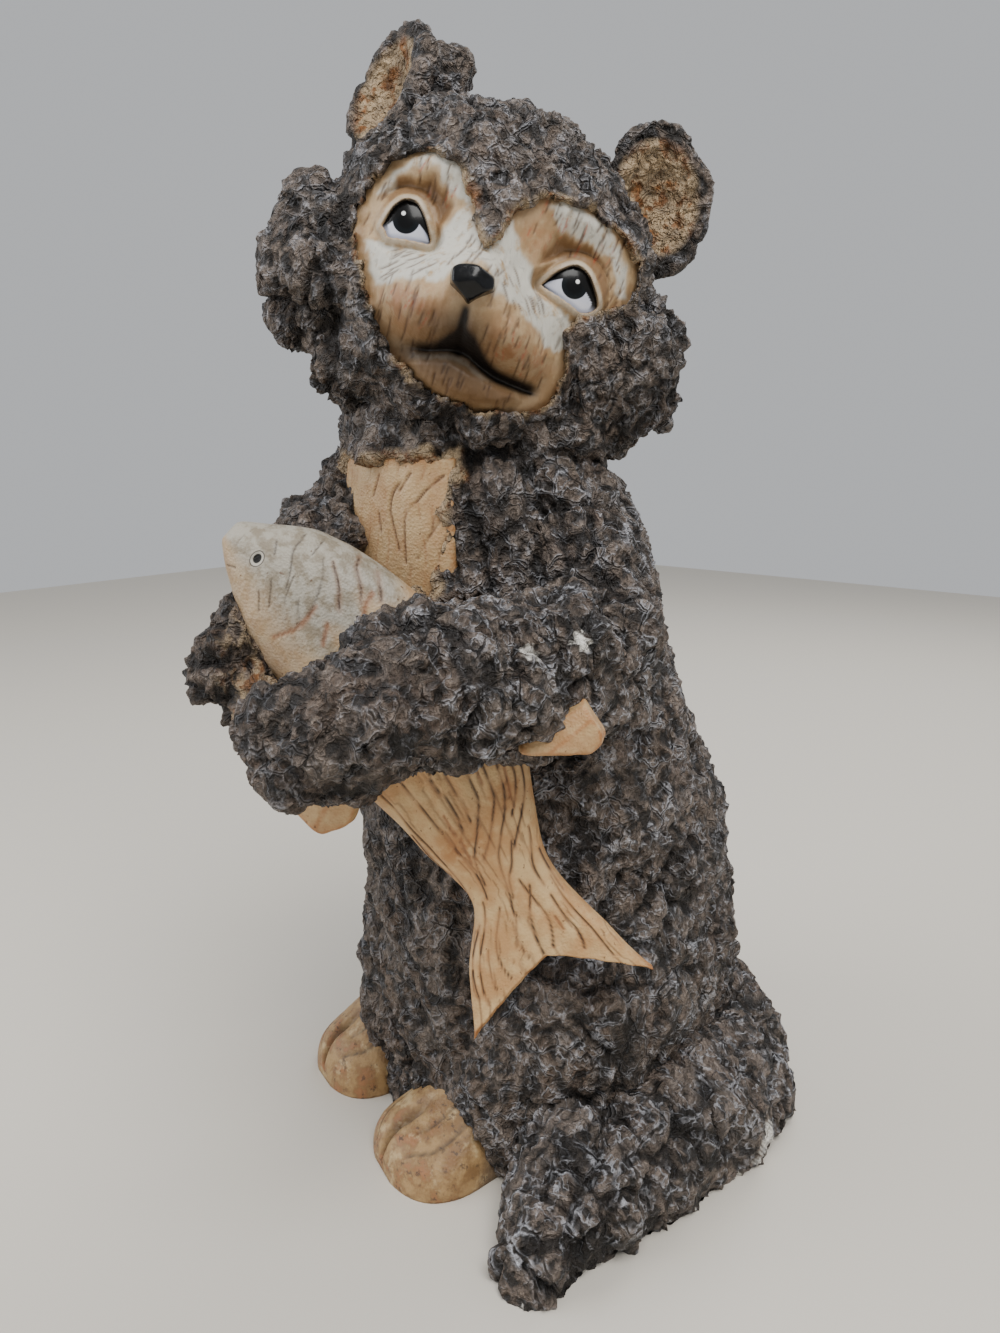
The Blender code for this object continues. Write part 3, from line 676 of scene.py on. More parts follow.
# The tail.
# The bushy tail comes round the left hip and lies on the ground beside the left foot, its tip forwards.
# Its flakes are the largest and the most brushed with grey. The casting is chipped white at its outer edge.
TAIL = [
    (40, 60, 22, 25), (65, 47, 12, 26), (75, 20, 8, 30), (72, -15, 10, 30), (69, -44, 12, 27),
    (71, -66, 10, 21), (75, -86, 5, 13),
]
TAIL_CHIPS = [(106, 9, 9, 6.5), (106, 3, 3, 2.5), (103, -6, 1, 1.5), (99, -30, 1, 1.5), (94, -40, 1, 1.2),
              (79, -99, 1, 1.6)]
coat_limb("coat_tail", TAIL, [], 2.0, 16.0, 41, 1.0, TAIL_PAINT,
          lambda p: 0.6 * (1 - smooth_step(p[:, 2], 3, 16)), None, TAIL_CHIPS)

# The head.
# The head is turned to the bear's left with its crown tilted to its right. Its own axes are l to the bear's
# left, h up the face and n out of it. The coat stands like a ruff over the edge of the bare face.
HEAD_CENTRE = (7.3, -30.4, 313.8)
HEAD_TURN = 42.9
HEAD_LIFT = 3.0
HEAD_TILT = 20.1
HEAD_LUMPS = [
    (0, 0, 0, 53, 46, 44), (-43, -20, 2, 24, 24, 26), (46, -18, 2, 26, 25, 26), (-57, -7, 4, 11, 11, 12),
    (-57, -25, 4, 11, 12, 12), (-48, -37, 4, 13, 12, 13), (61, -9, 4, 12, 10, 12), (64, -22, 4, 13, 12, 12),
    (55, -35, 4, 14, 11, 14), (-25, -45, 4, 20, 14, 22), (8, -50, 2, 40, 14, 30), (38, -42, 4, 20, 12, 22),
    (-34, 41, -7, 11.5, 17, 12), (40, 36, -20, 16, 16, 10),
]
FACE_EDGE = [
    (-24, 15), (-16, 13), (-9, 6), (-6, -2), (0, -6), (3, -2), (4, 6), (13, 14), (25, 16), (37, 15), (45, 10),
    (46, 0), (41, -6), (32, -12), (29, -18), (34, -28), (33, -38), (25, -45), (13, -49), (1, -48), (-9, -45),
    (-20, -40), (-28, -29), (-35, -18), (-39, -8), (-40, 2), (-35, 10),
]
COAT_OVER_FACE = 3.0


def head_axes():
    """The head's own axes as rows: to the bear's left, up the face and out of it."""
    turn, lift, tilt = (math.radians(angle) for angle in (HEAD_TURN, HEAD_LIFT, HEAD_TILT))
    turned = Matrix.Rotation(turn, 3, "Z") @ Matrix.Rotation(-lift, 3, "X") @ Matrix.Rotation(tilt, 3, "Y")
    return np.array([turned @ Vector((1, 0, 0)), turned @ Vector((0, 0, 1)), turned @ Vector((0, -1, 0))])


def from_head(places):
    """Places in the head's own axes, in the figure's."""
    return np.array(HEAD_CENTRE) + np.asarray(places, float) @ head_axes()


def to_head(points):
    """Places of the figure, in the head's own axes."""
    return (points - np.array(HEAD_CENTRE)) @ head_axes().T


def edge_distance(l, h, edge):
    """Distance from an outline of straight sides, negative inside it."""
    corners = np.array(edge, float)
    nearest = np.full(l.shape, 1e9)
    inside = np.zeros(l.shape, bool)
    for (al, ah), (bl, bh) in zip(corners, np.roll(corners, -1, axis=0)):
        dl, dh = bl - al, bh - ah
        t = np.clip(((l - al) * dl + (h - ah) * dh) / (dl * dl + dh * dh), 0, 1)
        nearest = np.minimum(nearest, np.hypot(l - al - t * dl, h - ah - t * dh))
        inside ^= ((ah > h) != (bh > h)) & (l < al + (h - ah) * dl / (dh if dh else 1e-9))
    return np.where(inside, -nearest, nearest)


def swell(l, h, at_l, at_h, wide, high):
    """1 at a place on the face, falling off like a bell."""
    return np.exp(-(((l - at_l) / wide) ** 2) - ((h - at_h) / high) ** 2)


def mouth_line(l):
    """The height of the mouth across the face: it peaks under the nose and droops to both sides."""
    return -34.6 - 3.4 * (1 - np.exp(-(((l - 2) / 8) ** 2))) + 0.08 * np.clip(l - 15, 0, None)


MUZZLE_EDGE = [
    (-27, -22), (-26.4, -29.8), (-22, -33), (-16.7, -36), (-10.6, -37.5), (-3.6, -36), (2, -33.5),
    (8, -33.5), (15, -35.5), (21, -37), (26.5, -36), (29, -31), (28.5, -26), (22, -20), (12, -12),
    (5, -8), (-5, -8), (-14, -12), (-22, -17),
]
CHIN_EDGE = [
    (-12, -43), (-8, -45.5), (3.5, -49), (12, -49), (19, -46.5), (24, -41), (22, -39), (12, -38.5),
    (0, -37), (-9, -39.5),
]
RIGHT_SCOOP = [
    (-33.5, 2.5), (-31.6, 5.8), (-28.4, 7.4), (-25.8, 7.2), (-22.5, 9.5), (-18.8, 8.2), (-15.5, 6.0),
    (-12.6, 2.6), (-15.0, -4.5), (-19.5, 0.6), (-24.2, 3.4), (-29.0, 2.4), (-31.5, -1.5), (-34.5, -2.0),
]
LEFT_SCOOP = [
    (15.0, -4.5), (15.3, 0.3), (17.0, 6.6), (23.5, 7.4), (29.4, 7.6), (33.0, 6.2), (37.9, 2.2),
    (39.6, -2.0), (38.0, -6.6), (34.5, -1.5), (29.1, 2.4), (24.6, 2.6), (20.0, 0.0),
]


def inside_edge(l, h, edge, low, high):
    """1 inside an outline and 0 outside it: a step of the distance inwards, from low to high."""
    return smooth_step(-edge_distance(l, h, edge), low, high)


def face_depth(l, h):
    """How far the bare face stands out of the head: a dome with a muzzle cut off sharply over the mouth,
    knife-cut scoops over the eyes under brows, a chin set back under the lip, and a groove under the nose."""
    dome = 43 - l**2 / 96 - np.clip(h, 0, None) ** 2 / 90 - np.clip(h, None, 0) ** 2 / 220
    muzzle = (8.5 * swell(l, h, 1, -23, 17, 12) + 3.5 * swell(l, h, -13, -28, 9, 7)
              + 3.5 * swell(l, h, 15, -28, 10, 7) + 6.0 * inside_edge(l, h, MUZZLE_EDGE, -1.5, 5.0))
    bridge = 5 * swell(l, h, 0.5, -9, 6.5, 12)
    hollows = 4.5 * swell(l, h, -22.5, -2, 11, 9) + 4.5 * swell(l, h, 25, -2, 12, 9)
    scoops = 3.6 * (inside_edge(l, h, RIGHT_SCOOP, -0.6, 2.4) + inside_edge(l, h, LEFT_SCOOP, -0.6, 2.4))
    brows = 3 * swell(l, h, -21, 12, 12, 4) + 3 * swell(l, h, 22, 13, 13, 4)
    chin = 4 * swell(l, h, 8, -43.5, 14, 5.5) + 4.5 * inside_edge(l, h, CHIN_EDGE, -1.5, 3.5)
    across = smooth_step(l, -15, -8) * (1 - smooth_step(l, 24, 30))
    gap = h - mouth_line(l)
    mouth = 3.0 * across * np.exp(-((gap / 1.3) ** 2))
    under_nose = 1.8 * np.exp(-(((l - 0.2 + 0.12 * (h + 24)) / 1.5) ** 2)) * smooth_step(-h, 22, 25)
    under_nose = under_nose * smooth_step(h, -37, -34)
    return dome + muzzle + bridge - hollows - scoops + brows + chin - mouth - under_nose


lumps = [ball(from_head(lump[:3]), lump[3:], head_axes()) for lump in HEAD_LUMPS]
points, normals, faces = one_skin("head", lumps, 1.85)
height, ridge, hollow, tone = coat_relief(points, 8.0, 53)
points = points + normals * height[:, None]
local = to_head(points)
l, h, n = local.T
ragged = 3.4 * (cloud(local, 6.0, 81) - 0.45) + 1.8 * (cloud(local, 2.4, 82) - 0.5)
outside = edge_distance(l, h, FACE_EDGE) + ragged
surface = face_depth(l, h)
ruff = surface + COAT_OVER_FACE * (1 - smooth_step(outside, 2, 12)) - 30 * smooth_step(outside, 8, 16)
ruff = ruff + (height - height.mean()) * smooth_step(outside, 0, 3)
lifted = n + np.maximum(ruff - n, 0) * smooth_step(n - surface, -20, -10)
blend = smooth_step(outside, -0.6, 0.4)
seated = np.where(n > 5, np.minimum(n, surface - 7) * (1 - blend) + lifted * blend, n)
points = from_head(np.stack([l, h, seated], -1))
beside_face = (1 - smooth_step(outside, 2, 12)) * (n > 5)
warm = 0.55 * smooth_step(-h, 15, 45) * (n > 0)
masks = coat_masks(points, ridge, hollow, tone, 0.6 + 0.3 * beside_face, warm)
masks["tan"] = (1 - smooth_step(outside, 0.4, 2.6)) * (n > 5) * smooth_step(cloud(local, 7.0, 83), 0.3, 0.6)
finished("coat_head", points, faces, HEAD_PAINT, masks)

# The ears.
# Each ear is a thick saucer of coat with a bare bowl, left rough and painted tan with brown rubbed into it.
RIGHT_EAR = ((-49, 37, 1), (-0.76, 0.05, 0.65), 17, 23, 14)
LEFT_EAR = ((45, 38, 0), (0.0, -0.05, 1.0), 19, 24, -22)
EAR_THICKNESS = 15.0
EAR_HOLLOW = 8.0
EAR_RIM = 3.8


def ear(name, centre, facing, half_width, half_height, tilt, seed):
    """A saucer: its profile runs from the bottom of the bowl over the rim and down the back, then round."""
    n = unit(np.array(facing, float))
    up = np.array([math.sin(math.radians(tilt)), math.cos(math.radians(tilt)), 0.0])
    up = unit(up - n * (up @ n))
    side = np.cross(up, n)
    bowl = np.linspace(0.02, 1.0, 40)
    quarter = np.linspace(0.0, math.pi / 2, 37)[1:]
    bowl_width = half_width - EAR_RIM
    reach = np.concatenate([bowl_width * bowl, bowl_width + EAR_RIM * np.sin(quarter[::3]),
                            half_width * np.cos(quarter * 0.985)])[:, None] / half_width
    level = np.concatenate([-EAR_HOLLOW * (1 - bowl**2) ** 1.5, EAR_RIM * (np.cos(quarter[::3]) - 1),
                            -EAR_RIM - (EAR_THICKNESS - EAR_RIM) * np.sin(quarter * 0.985)])[:, None]
    turn = full_turn(160)[None, :]
    places = (np.array(centre, float) + side * (half_width * reach * np.cos(turn))[..., None]
              + up * (half_height * reach * np.sin(turn))[..., None] + n * (level + 0 * turn)[..., None])
    points, faces = closed_rings(from_head(places))
    form = mesh_of("ear_form", points, faces)
    normals = vertex_values(form, "normal")
    bpy.data.meshes.remove(form)
    inner = np.concatenate([np.repeat(1 - smooth_step(np.arange(len(reach)), 32, 39), turn.size), [1.0, 0.0]])
    height, ridge, hollow, tone = coat_relief(points, 8.0, seed)
    height = 0.55 * height
    lump, _, _, _ = cells(points + 3.0 * (cloud(points, 3.0, seed)[:, None] - 0.5), 4.5, seed)
    grit = crinkle(points, 2.2, seed + 1)
    crust = 1.9 * (0.5 - lump) + 0.7 * grit**2
    points = points + normals * (height * (1 - inner) + crust * inner)[:, None]
    hollow = np.where(inner > 0.5, 0.25 * (1 - grit), hollow)
    masks = coat_masks(points, ridge * (1 - inner), hollow, tone, 0.35, 0.2)
    masks["tan"] = inner * (0.6 + 0.4 * smooth_step(lump, 0.85, 0.35))
    finished(name, points, faces, HEAD_PAINT, masks)


ear("ear_right", *RIGHT_EAR, 61)
ear("ear_left", *LEFT_EAR, 67)

# The face.
# The bare face is carved smooth, scored with short upright cuts, and painted: pale on the bridge and the
# brows, ochre in the eye hollows and on the muzzle, and dark in the mouth and in the cuts.
# The lower face and the underside of the muzzle get painted shade, and the lower lip a painted highlight.
RIGHT_LIDS = [
    (-31.4, -8.3), (-29.9, -3.3), (-28.4, -0.9), (-26.6, 0.5), (-23.8, 0.5), (-21.1, -1.8), (-18.8, -4.6),
    (-16.6, -8.2), (-18.6, -9.1), (-23.7, -10.0), (-28.5, -10.7), (-29.8, -9.5),
]
LEFT_LIDS = [
    (18.4, -7.6), (20.3, -4.8), (22.7, -1.9), (26.1, 0.6), (29.8, 0.0), (33.0, -2.9), (36.2, -6.7),
    (35.0, -9.2), (32.1, -10.7), (28.3, -10.0), (24.1, -9.1), (20.1, -8.2),
]
EYE_RADIUS = 14.0
RIGHT_EYE = (-22.6, -5.4, 21.8)
LEFT_EYE = (25.8, -5.2, 21.6)
FACE_STEP = 0.44
FACE_MIDDLE = (3.0, -16.0)
FACE_BEHIND = (3.0, -16.0, 8.0)


def lid_distance(l, h, outline):
    """Distance from the opening between the lids, smoothly curved through its stations."""
    return edge_distance(l, h, through(outline + outline[:1], 4)[:-1])


def lids(l, h, surface, eye, outline):
    """The lids lie on the eyeball round its opening and drop inside it. Gives the surface, the distance from
    the opening, and 1 on the upper lid."""
    away = lid_distance(l, h, outline)
    on_ball = np.sqrt(np.clip(EYE_RADIUS**2 - (l - eye[0]) ** 2 - (h - eye[1]) ** 2, 1.0, None)) + eye[2]
    upper = smooth_step(h - eye[1], -3.5, 1.5)
    lid = on_ball + 0.35 + (0.7 + 0.5 * upper) * (1 - smooth_step(away, 1.5, 2.3 + 0.3 * upper))
    near = 1 - smooth_step(away, 1.8, 4.6)
    least = np.where(away < 9, on_ball + 0.3 + 0.7 * smooth_step(away, 2, 4.5), 0.0)
    surface = np.maximum(surface * (1 - near) + lid * near, least)
    return surface - 3.2 * (1 - smooth_step(away, -0.35, 0.25)), away, upper


def cuts(l, h, strokes):
    """Short scored strokes: 1 on a stroke's line, falling off across it, and fading at its ends."""
    depth = np.zeros(l.shape)
    for at_l, at_h, slant, length, half in strokes:
        dl, dh = math.sin(slant), math.cos(slant)
        along = (l - at_l) * dl + (h - at_h) * dh
        across = (l - at_l) * dh - (h - at_h) * dl + 0.03 * along**2
        mark = np.exp(-((across / half) ** 2)) * (1 - smooth_step(np.abs(along), 0.25 * length, 0.5 * length))
        depth = np.maximum(depth, mark)
    return depth


def scored(seed, regions):
    """Strokes strewn over boxes of the face: low l, high l, low h, high h, how many, slant, length."""
    luck = np.random.default_rng(seed)
    strokes = []
    for low_l, high_l, low_h, high_h, count, slant, length in regions:
        at = luck.random((count, 5))
        strokes += np.stack([low_l + (high_l - low_l) * at[:, 0], low_h + (high_h - low_h) * at[:, 1],
                             slant + 0.3 * (at[:, 2] - 0.5), length * (0.5 + 0.9 * at[:, 3]),
                             0.22 + 0.14 * at[:, 4]], -1).tolist()
    return strokes


def face_paint():
    """Pale grey over tan, a painted highlight under the mouth, brown in the scoops, painted shade on the
    lower face and under the muzzle, thin red and dark strokes, and black mist at the mouth.
    """
    material, tree, shader = new_material("face_paint", 0.5, 0.4)
    under = painted(
        tree, "b39a78",
        ("a08461", speckle(tree, 0.006, 0.4, 0.6)),
        ("9a6c48", "puff", speckle(tree, 0.005, 0.42, 0.58)),
        # Brown paint in the scoops and on the chin, and painted shade under the muzzle and on the lower face.
        ("765738", "umber_and_shade", 0.85),
        # Pale grey paint, and a painted highlight under the mouth.
        ("c2bfb4", "pale", speckle(tree, 0.0035, 0.25, 0.5)),
        ("8f8c84", "pale", speckle(tree, 0.0028, 0.56, 0.66), 0.5),
        ("a3452b", "red", speckle(tree, 0.002, 0.4, 0.6), 0.7),
        ("4d3322", "cut", 0.75),
        ("17110d", "dark"))
    tree.links.new(under, shader.inputs["Base Color"])
    bumped(tree, shader, grain(tree, 0.0011, 0.35), 0.3, 0.0003)
    return material


def flat_cloud(x, y, size, seed):
    """A cloud for places in two coordinates."""
    return cloud(np.stack([x, y, 0 * x], -1).reshape(-1, 3), size, seed).reshape(x.shape)


def closed_sheet(front, behind, masks):
    """A grid of points closed by a fan from its border to one point behind it, where the masks are 0."""
    rows, columns, _ = front.shape
    up, along = np.arange(rows - 1), np.arange(columns - 1)
    border = np.concatenate([up * columns, (rows - 1) * columns + along,
                             (up[::-1] + 1) * columns + columns - 1, along[::-1] + 1])
    fan = np.stack([border, np.roll(border, -1), np.full(len(border), rows * columns)], -1)
    masks = {name: np.append(np.clip(values, 0, 1).reshape(-1), 0.0) for name, values in masks.items()}
    faces = grid_faces(rows, columns, False).tolist() + fan.tolist()
    return np.vstack([front.reshape(-1, 3), behind]), faces, masks


PALE_SHAPES = [
    [(-35.5, 0), (-33, 6.6), (-29, 10.5), (-23.5, 14.5), (-17.7, 15.2), (-12, 12), (-9, 8), (-8.5, 3),
     (-11.5, 4.5), (-15.5, 7.2), (-18.8, 9.6), (-23.4, 12), (-28, 9.4), (-31.8, 6.4), (-34, 1)],
    [(13, 12.5), (15.2, 15.5), (20.4, 15.5), (25.9, 15), (32, 14.5), (37.5, 12), (42, 7), (44.5, 1),
     (42.5, 0), (39.5, 4), (35, 8.4), (30.5, 8.7), (24.8, 8.1), (18.2, 7.8), (16.8, 9.5)],
    [(-14, -4), (-9.6, 3), (-6, -2), (0, -6), (3, -2), (4, 3), (8.5, -2), (15, -9), (24, -13),
     (31, -14.5), (33, -17), (30, -24), (25, -23.5), (17, -20.5), (9, -18), (6.5, -19), (5, -14.5),
     (0, -13), (-6, -15), (-8, -20), (-14, -21.5), (-21, -23), (-28, -24), (-32, -18), (-35, -13),
     (-29, -13), (-23, -12), (-17, -10.5)],
]
l, h = np.meshgrid(np.arange(-47, 53.01, FACE_STEP), np.arange(-55, 22.01, FACE_STEP), indexing="ij")
wander_l, wander_h = (flat_cloud(l, h, 3.5, seed) - 0.5 for seed in (91, 92))
streak = flat_cloud(l, 0.22 * h, 0.9, 93) - 0.5
surface = face_depth(l, h)
surface, right_away, right_upper = lids(l, h, surface, RIGHT_EYE, RIGHT_LIDS)
surface, left_away, left_upper = lids(l, h, surface, LEFT_EYE, LEFT_LIDS)
outside = edge_distance(l, h, FACE_EDGE)
eye_away = np.minimum(right_away, left_away)
clear = smooth_step(eye_away, 2.4, 3.4)
dark_strokes = scored(5, [
    (-32, -14, 4, 13, 9, -0.1, 6), (10, 40, 3, 14, 20, 0.1, 6), (-25, -5, -36, -22, 20, 0.05, 7),
    (6, 29, -35, -20, 24, -0.05, 7), (-6, 22, -47, -41, 14, 0.0, 5), (-18, -6, -43, -38, 5, 0.0, 4),
    (-37, -32, -10, 4, 6, 0.1, 5), (-8, 8, -14, -4, 12, 0.25, 6), (34, 44, -6, 6, 10, 0.1, 5),
    (8, 22, -20, -10, 14, -0.6, 6), (-26, -8, -22, -12, 14, 0.9, 6),
])
red_strokes = scored(9, [
    (-30, -12, 2, 13, 5, 0.2, 6), (8, 38, 2, 12, 12, 0.05, 7), (-24, -8, -35, -24, 6, 0.3, 5),
    (12, 28, -34, -24, 8, -0.1, 5),
])
cut = cuts(l, h, dark_strokes) * clear
red = cuts(l, h, red_strokes) * clear
surface = surface - 0.45 * cut - 0.2 * red + 0.35 * streak + 0.5 * wander_l
gap = h - mouth_line(l)
across = smooth_step(l, -15, -8) * (1 - smooth_step(l, 25, 30))
over = 1.2 + 3.6 * np.exp(-(((l - 3) / 7) ** 2)) + 0.9 * smooth_step(l, 0, 12)
mouth = across * smooth_step(gap, -1.3, -0.3) * (1 - smooth_step(gap, 0.35 * over, over + 0.8))
mouth = mouth * (0.55 + 0.45 * smooth_step(l, -6, 6))
soot = 0.55 * across * smooth_step(-gap, 0, 0.8) * (1 - smooth_step(-gap, 0.8, 2.6)) * smooth_step(l, 4, 14)
philtrum = 0.8 * np.exp(-(((l - 0.2 + 0.12 * (h + 24)) / 1.1) ** 2)) * smooth_step(-h, 23, 26)
philtrum = philtrum * smooth_step(h, -37, -34)
mist = (0.7 * swell(l, h, 0.5, -31, 8, 6.5) + 0.5 * swell(l, h, -12, -39.5, 10, 3)
        + 0.45 * swell(l, h, 4, -41, 14, 4.5))
both_lids = ((right_away, right_upper), (left_away, left_upper))
creases = 0.6 * sum(np.exp(-(((away - 3.0) / 0.45) ** 2)) * upper for away, upper in both_lids)
lining = sum(smooth_step(0.5 - away, 0.0, 0.4) * upper for away, upper in both_lids)
drawn_l, drawn_h = l + 2.2 * wander_l + 0.8 * streak, h + 2.2 * wander_h + 1.5 * streak
pale = np.max([inside_edge(drawn_l, drawn_h, shape, -1.2, 0.8) for shape in PALE_SHAPES], axis=0)
pale = np.maximum(pale * smooth_step(eye_away, 1.9, 2.4), 0.4 * smooth_step(eye_away, 0.2, 0.5)
                  * (1 - smooth_step(eye_away, 1.7, 2.2)))
# A painted highlight on the lower lip, just under the mouth line, put into the pale mask.
lip_highlight = 0.4 * across * np.exp(-(((gap + 2.6) / 1.1) ** 2)) * (1 - smooth_step(l, 8, 16))
# Brown in the scoops, lid creases, chin and face edge; painted shade under the muzzle and on the lower face.
umber_and_shade = (inside_edge(drawn_l, drawn_h, RIGHT_SCOOP, -0.6, 1.4)
         + inside_edge(drawn_l, drawn_h, LEFT_SCOOP, -0.6, 1.4)
         + creases + 0.9 * inside_edge(l, h, CHIN_EDGE, 0.5, 4) + 0.5 * swell(l, h, -12, -32, 10, 5)
         + 0.45 * swell(l, h, 6, -33, 20, 7) + 0.4 * smooth_step(-h, 24, 42)
         + 0.4 * (1 - smooth_step(-outside, 0.3, 2.5)))
puff = swell(l, h, -16, -29, 10, 6) + swell(l, h, 18, -30, 11, 6) + 0.6 * swell(l, h, 12, 2, 5, 7)
beyond = np.maximum(outside - 6, 0)
from_l, from_h = l - FACE_MIDDLE[0], h - FACE_MIDDLE[1]
inwards = 1 - beyond / np.maximum(np.hypot(from_l, from_h), 1)
front = np.stack([FACE_MIDDLE[0] + from_l * inwards, from_h * inwards + FACE_MIDDLE[1],
                  surface - 9 * smooth_step(outside, 1, 7) - 0.4 * beyond], -1)
masks = {"pale": pale + lip_highlight, "umber_and_shade": umber_and_shade, "puff": puff, "red": red, "cut": cut,
         "dark": mouth + soot + philtrum + mist + lining}
points, faces, masks = closed_sheet(front, FACE_BEHIND, masks)
finished("face", from_head(points), faces, face_paint(), masks)

# The eyes.
# Each eye is a painted ball under clear enamel: white, a nearly black iris that looks up, black lining under
# the upper lid and a white spark.
IRIS_RADIUS = 4.0
RIGHT_IRIS, RIGHT_SPARK = (-25.1, -4.8), (-26.4, -3.4)
LEFT_IRIS, LEFT_SPARK = (27.6, -4.5), (28.1, -3.3)
IRIS_EDGE = (IRIS_RADIUS + 0.12, IRIS_RADIUS - 0.12)
PUPIL_EDGE = (3.2, 2.2)
SPARK_EDGE = (0.75, 0.5)


def eye_enamel():
    """White shaded with blue, a nearly black iris, black lining under the upper lid, and a white spark."""
    material, tree, shader = new_material("eye_enamel", 0.25, 0.2, 0.12, 0.05)
    away = mask_of(tree, "from_iris")
    paint = painted(
        tree, "dadbe4",
        ("9aa3bd", "shade", 0.7),
        ("0b1014", ramp(tree, away, *IRIS_EDGE)),
        ("040405", ramp(tree, away, *PUPIL_EDGE)),
        ("0b0a0a", "lining"),
        ("f4f4f2", ramp(tree, mask_of(tree, "from_spark"), *SPARK_EDGE)))
    tree.links.new(paint, shader.inputs["Base Color"])
    return material


def eyeball(name, centre, iris, spark, outline, material):
    """A ball about n, finer in front, with each point's distances and how far it lies under the upper lid."""
    down = np.concatenate([np.linspace(0.01, 1.2, 56), np.linspace(1.25, math.pi - 0.02, 8)])
    points, faces = closed_rings(np.array(centre) + EYE_RADIUS * ways_out(down, 120))
    l, h, _ = points.T
    away = lid_distance(l, h, outline)
    leaning = (h - centre[1]) + 0.22 * abs(centre[0]) / centre[0] * (l - centre[0])
    thick = 0.5 + 2.5 * smooth_step(leaning, -3.2, 3.0)
    lining = smooth_step(away, -thick - 0.15, -thick + 0.15) * smooth_step(h - centre[1], -4.5, -2.0)
    shade = 1 - smooth_step(-away, 0.2, 1.6) + 0.5 * smooth_step(h - centre[1], -5.5, -1.0)
    masks = {"from_iris": np.hypot(l - iris[0], h - iris[1]),
             "from_spark": np.hypot(l - spark[0], h - spark[1]),
             "lining": lining, "shade": np.clip(shade, 0, 1)}
    finished(name, from_head(points), faces, material, masks)


EYE_ENAMEL = eye_enamel()
eyeball("eye_right", RIGHT_EYE, RIGHT_IRIS, RIGHT_SPARK, RIGHT_LIDS, EYE_ENAMEL)
eyeball("eye_left", LEFT_EYE, LEFT_IRIS, LEFT_SPARK, LEFT_LIDS, EYE_ENAMEL)

# The nose.
# A wedge, wider at the top, cut with a knife into flat planes and painted gloss black.
# Each plane is the way it faces in the head's axes and how far it lies from the middle.
NOSE = (-0.3, -18.5, 55.6)
NOSE_PLANES = [
    ((0.70, -0.714, 0.08), 4.7), ((-0.453, -0.892, 0.08), 4.7), ((-0.98, -0.2, 0.1), 6.1),
    ((-0.707, 0.707, 0.15), 6.0), ((-0.28, 0.96, 0.25), 5.0), ((0.31, 0.95, 0.25), 5.0),
    ((0.958, 0.287, 0.1), 6.3), ((-0.30, 0.25, 0.92), 5.6), ((0.34, 0.22, 0.92), 5.8),
    ((0.05, -0.45, 0.89), 5.4), ((0.0, 0.0, -1.0), 8.0),
]


def cut_stone(planes, sharpness, rings, around):
    """A rounded block cut by planes: along each direction the distance is the inverse of the high-power sum
    of how soon each plane is met."""
    ways = ways_out(np.linspace(0.02, math.pi - 0.02, rings), around)
    met = np.stack([np.maximum(ways @ unit(np.array(facing, float)), 0) / reach for facing, reach in planes])
    return ways / ((met**sharpness).sum(0) ** (1 / sharpness))[..., None]


def nose_enamel():
    """Nearly black gloss paint, a little uneven."""
    material, tree, shader = new_material("nose_enamel", 0.22, 0.22, 0.15, 0.08)
    under = painted(tree, "050506", ("0e0f12", speckle(tree, 0.004)))
    tree.links.new(under, shader.inputs["Base Color"])
    bumped(tree, shader, grain(tree, 0.0014), 0.12, 0.0004)
    return material


points, faces = closed_rings(np.array(NOSE) + cut_stone(NOSE_PLANES, 18, 48, 84))
finished("nose", from_head(points), faces, nose_enamel(), {})

# The fish.
# The fish is held head up across the body. Its rings run from the snout to the forked tail fin, a slab with
# square edges. Lines are cut along it and rubbed with brown: short arcs on the head, long ones to the tail.
FISH = [
    (-22.8, -115.7, 230.0, 3.9, 3.2, 2.6), (-22, -115, 229, 5.6, 4.6, 4.8), (-19, -112, 225, 10.0, 9.4, 8.8),
    (-13, -106, 217, 18.6, 17.4, 12.5), (-8, -102, 210, 22.5, 22, 14), (3, -92, 195, 26, 26, 16),
    (15, -83, 178, 28, 28, 16), (28, -76, 159, 26, 26, 14), (38, -72, 140, 20, 20, 11),
    (49, -68, 121, 13.5, 14.5, 8), (56, -66, 107, 21.5, 26, 6), (61, -64, 96, 29, 33, 5),
]
FISH_FACING = (0.643, -0.766, 0.0)
FISH_LENGTH = 168.0
TAIL_FORK = (17.5, 16.0)
FISH_RINGS = 330
FLANK_POINTS = 127
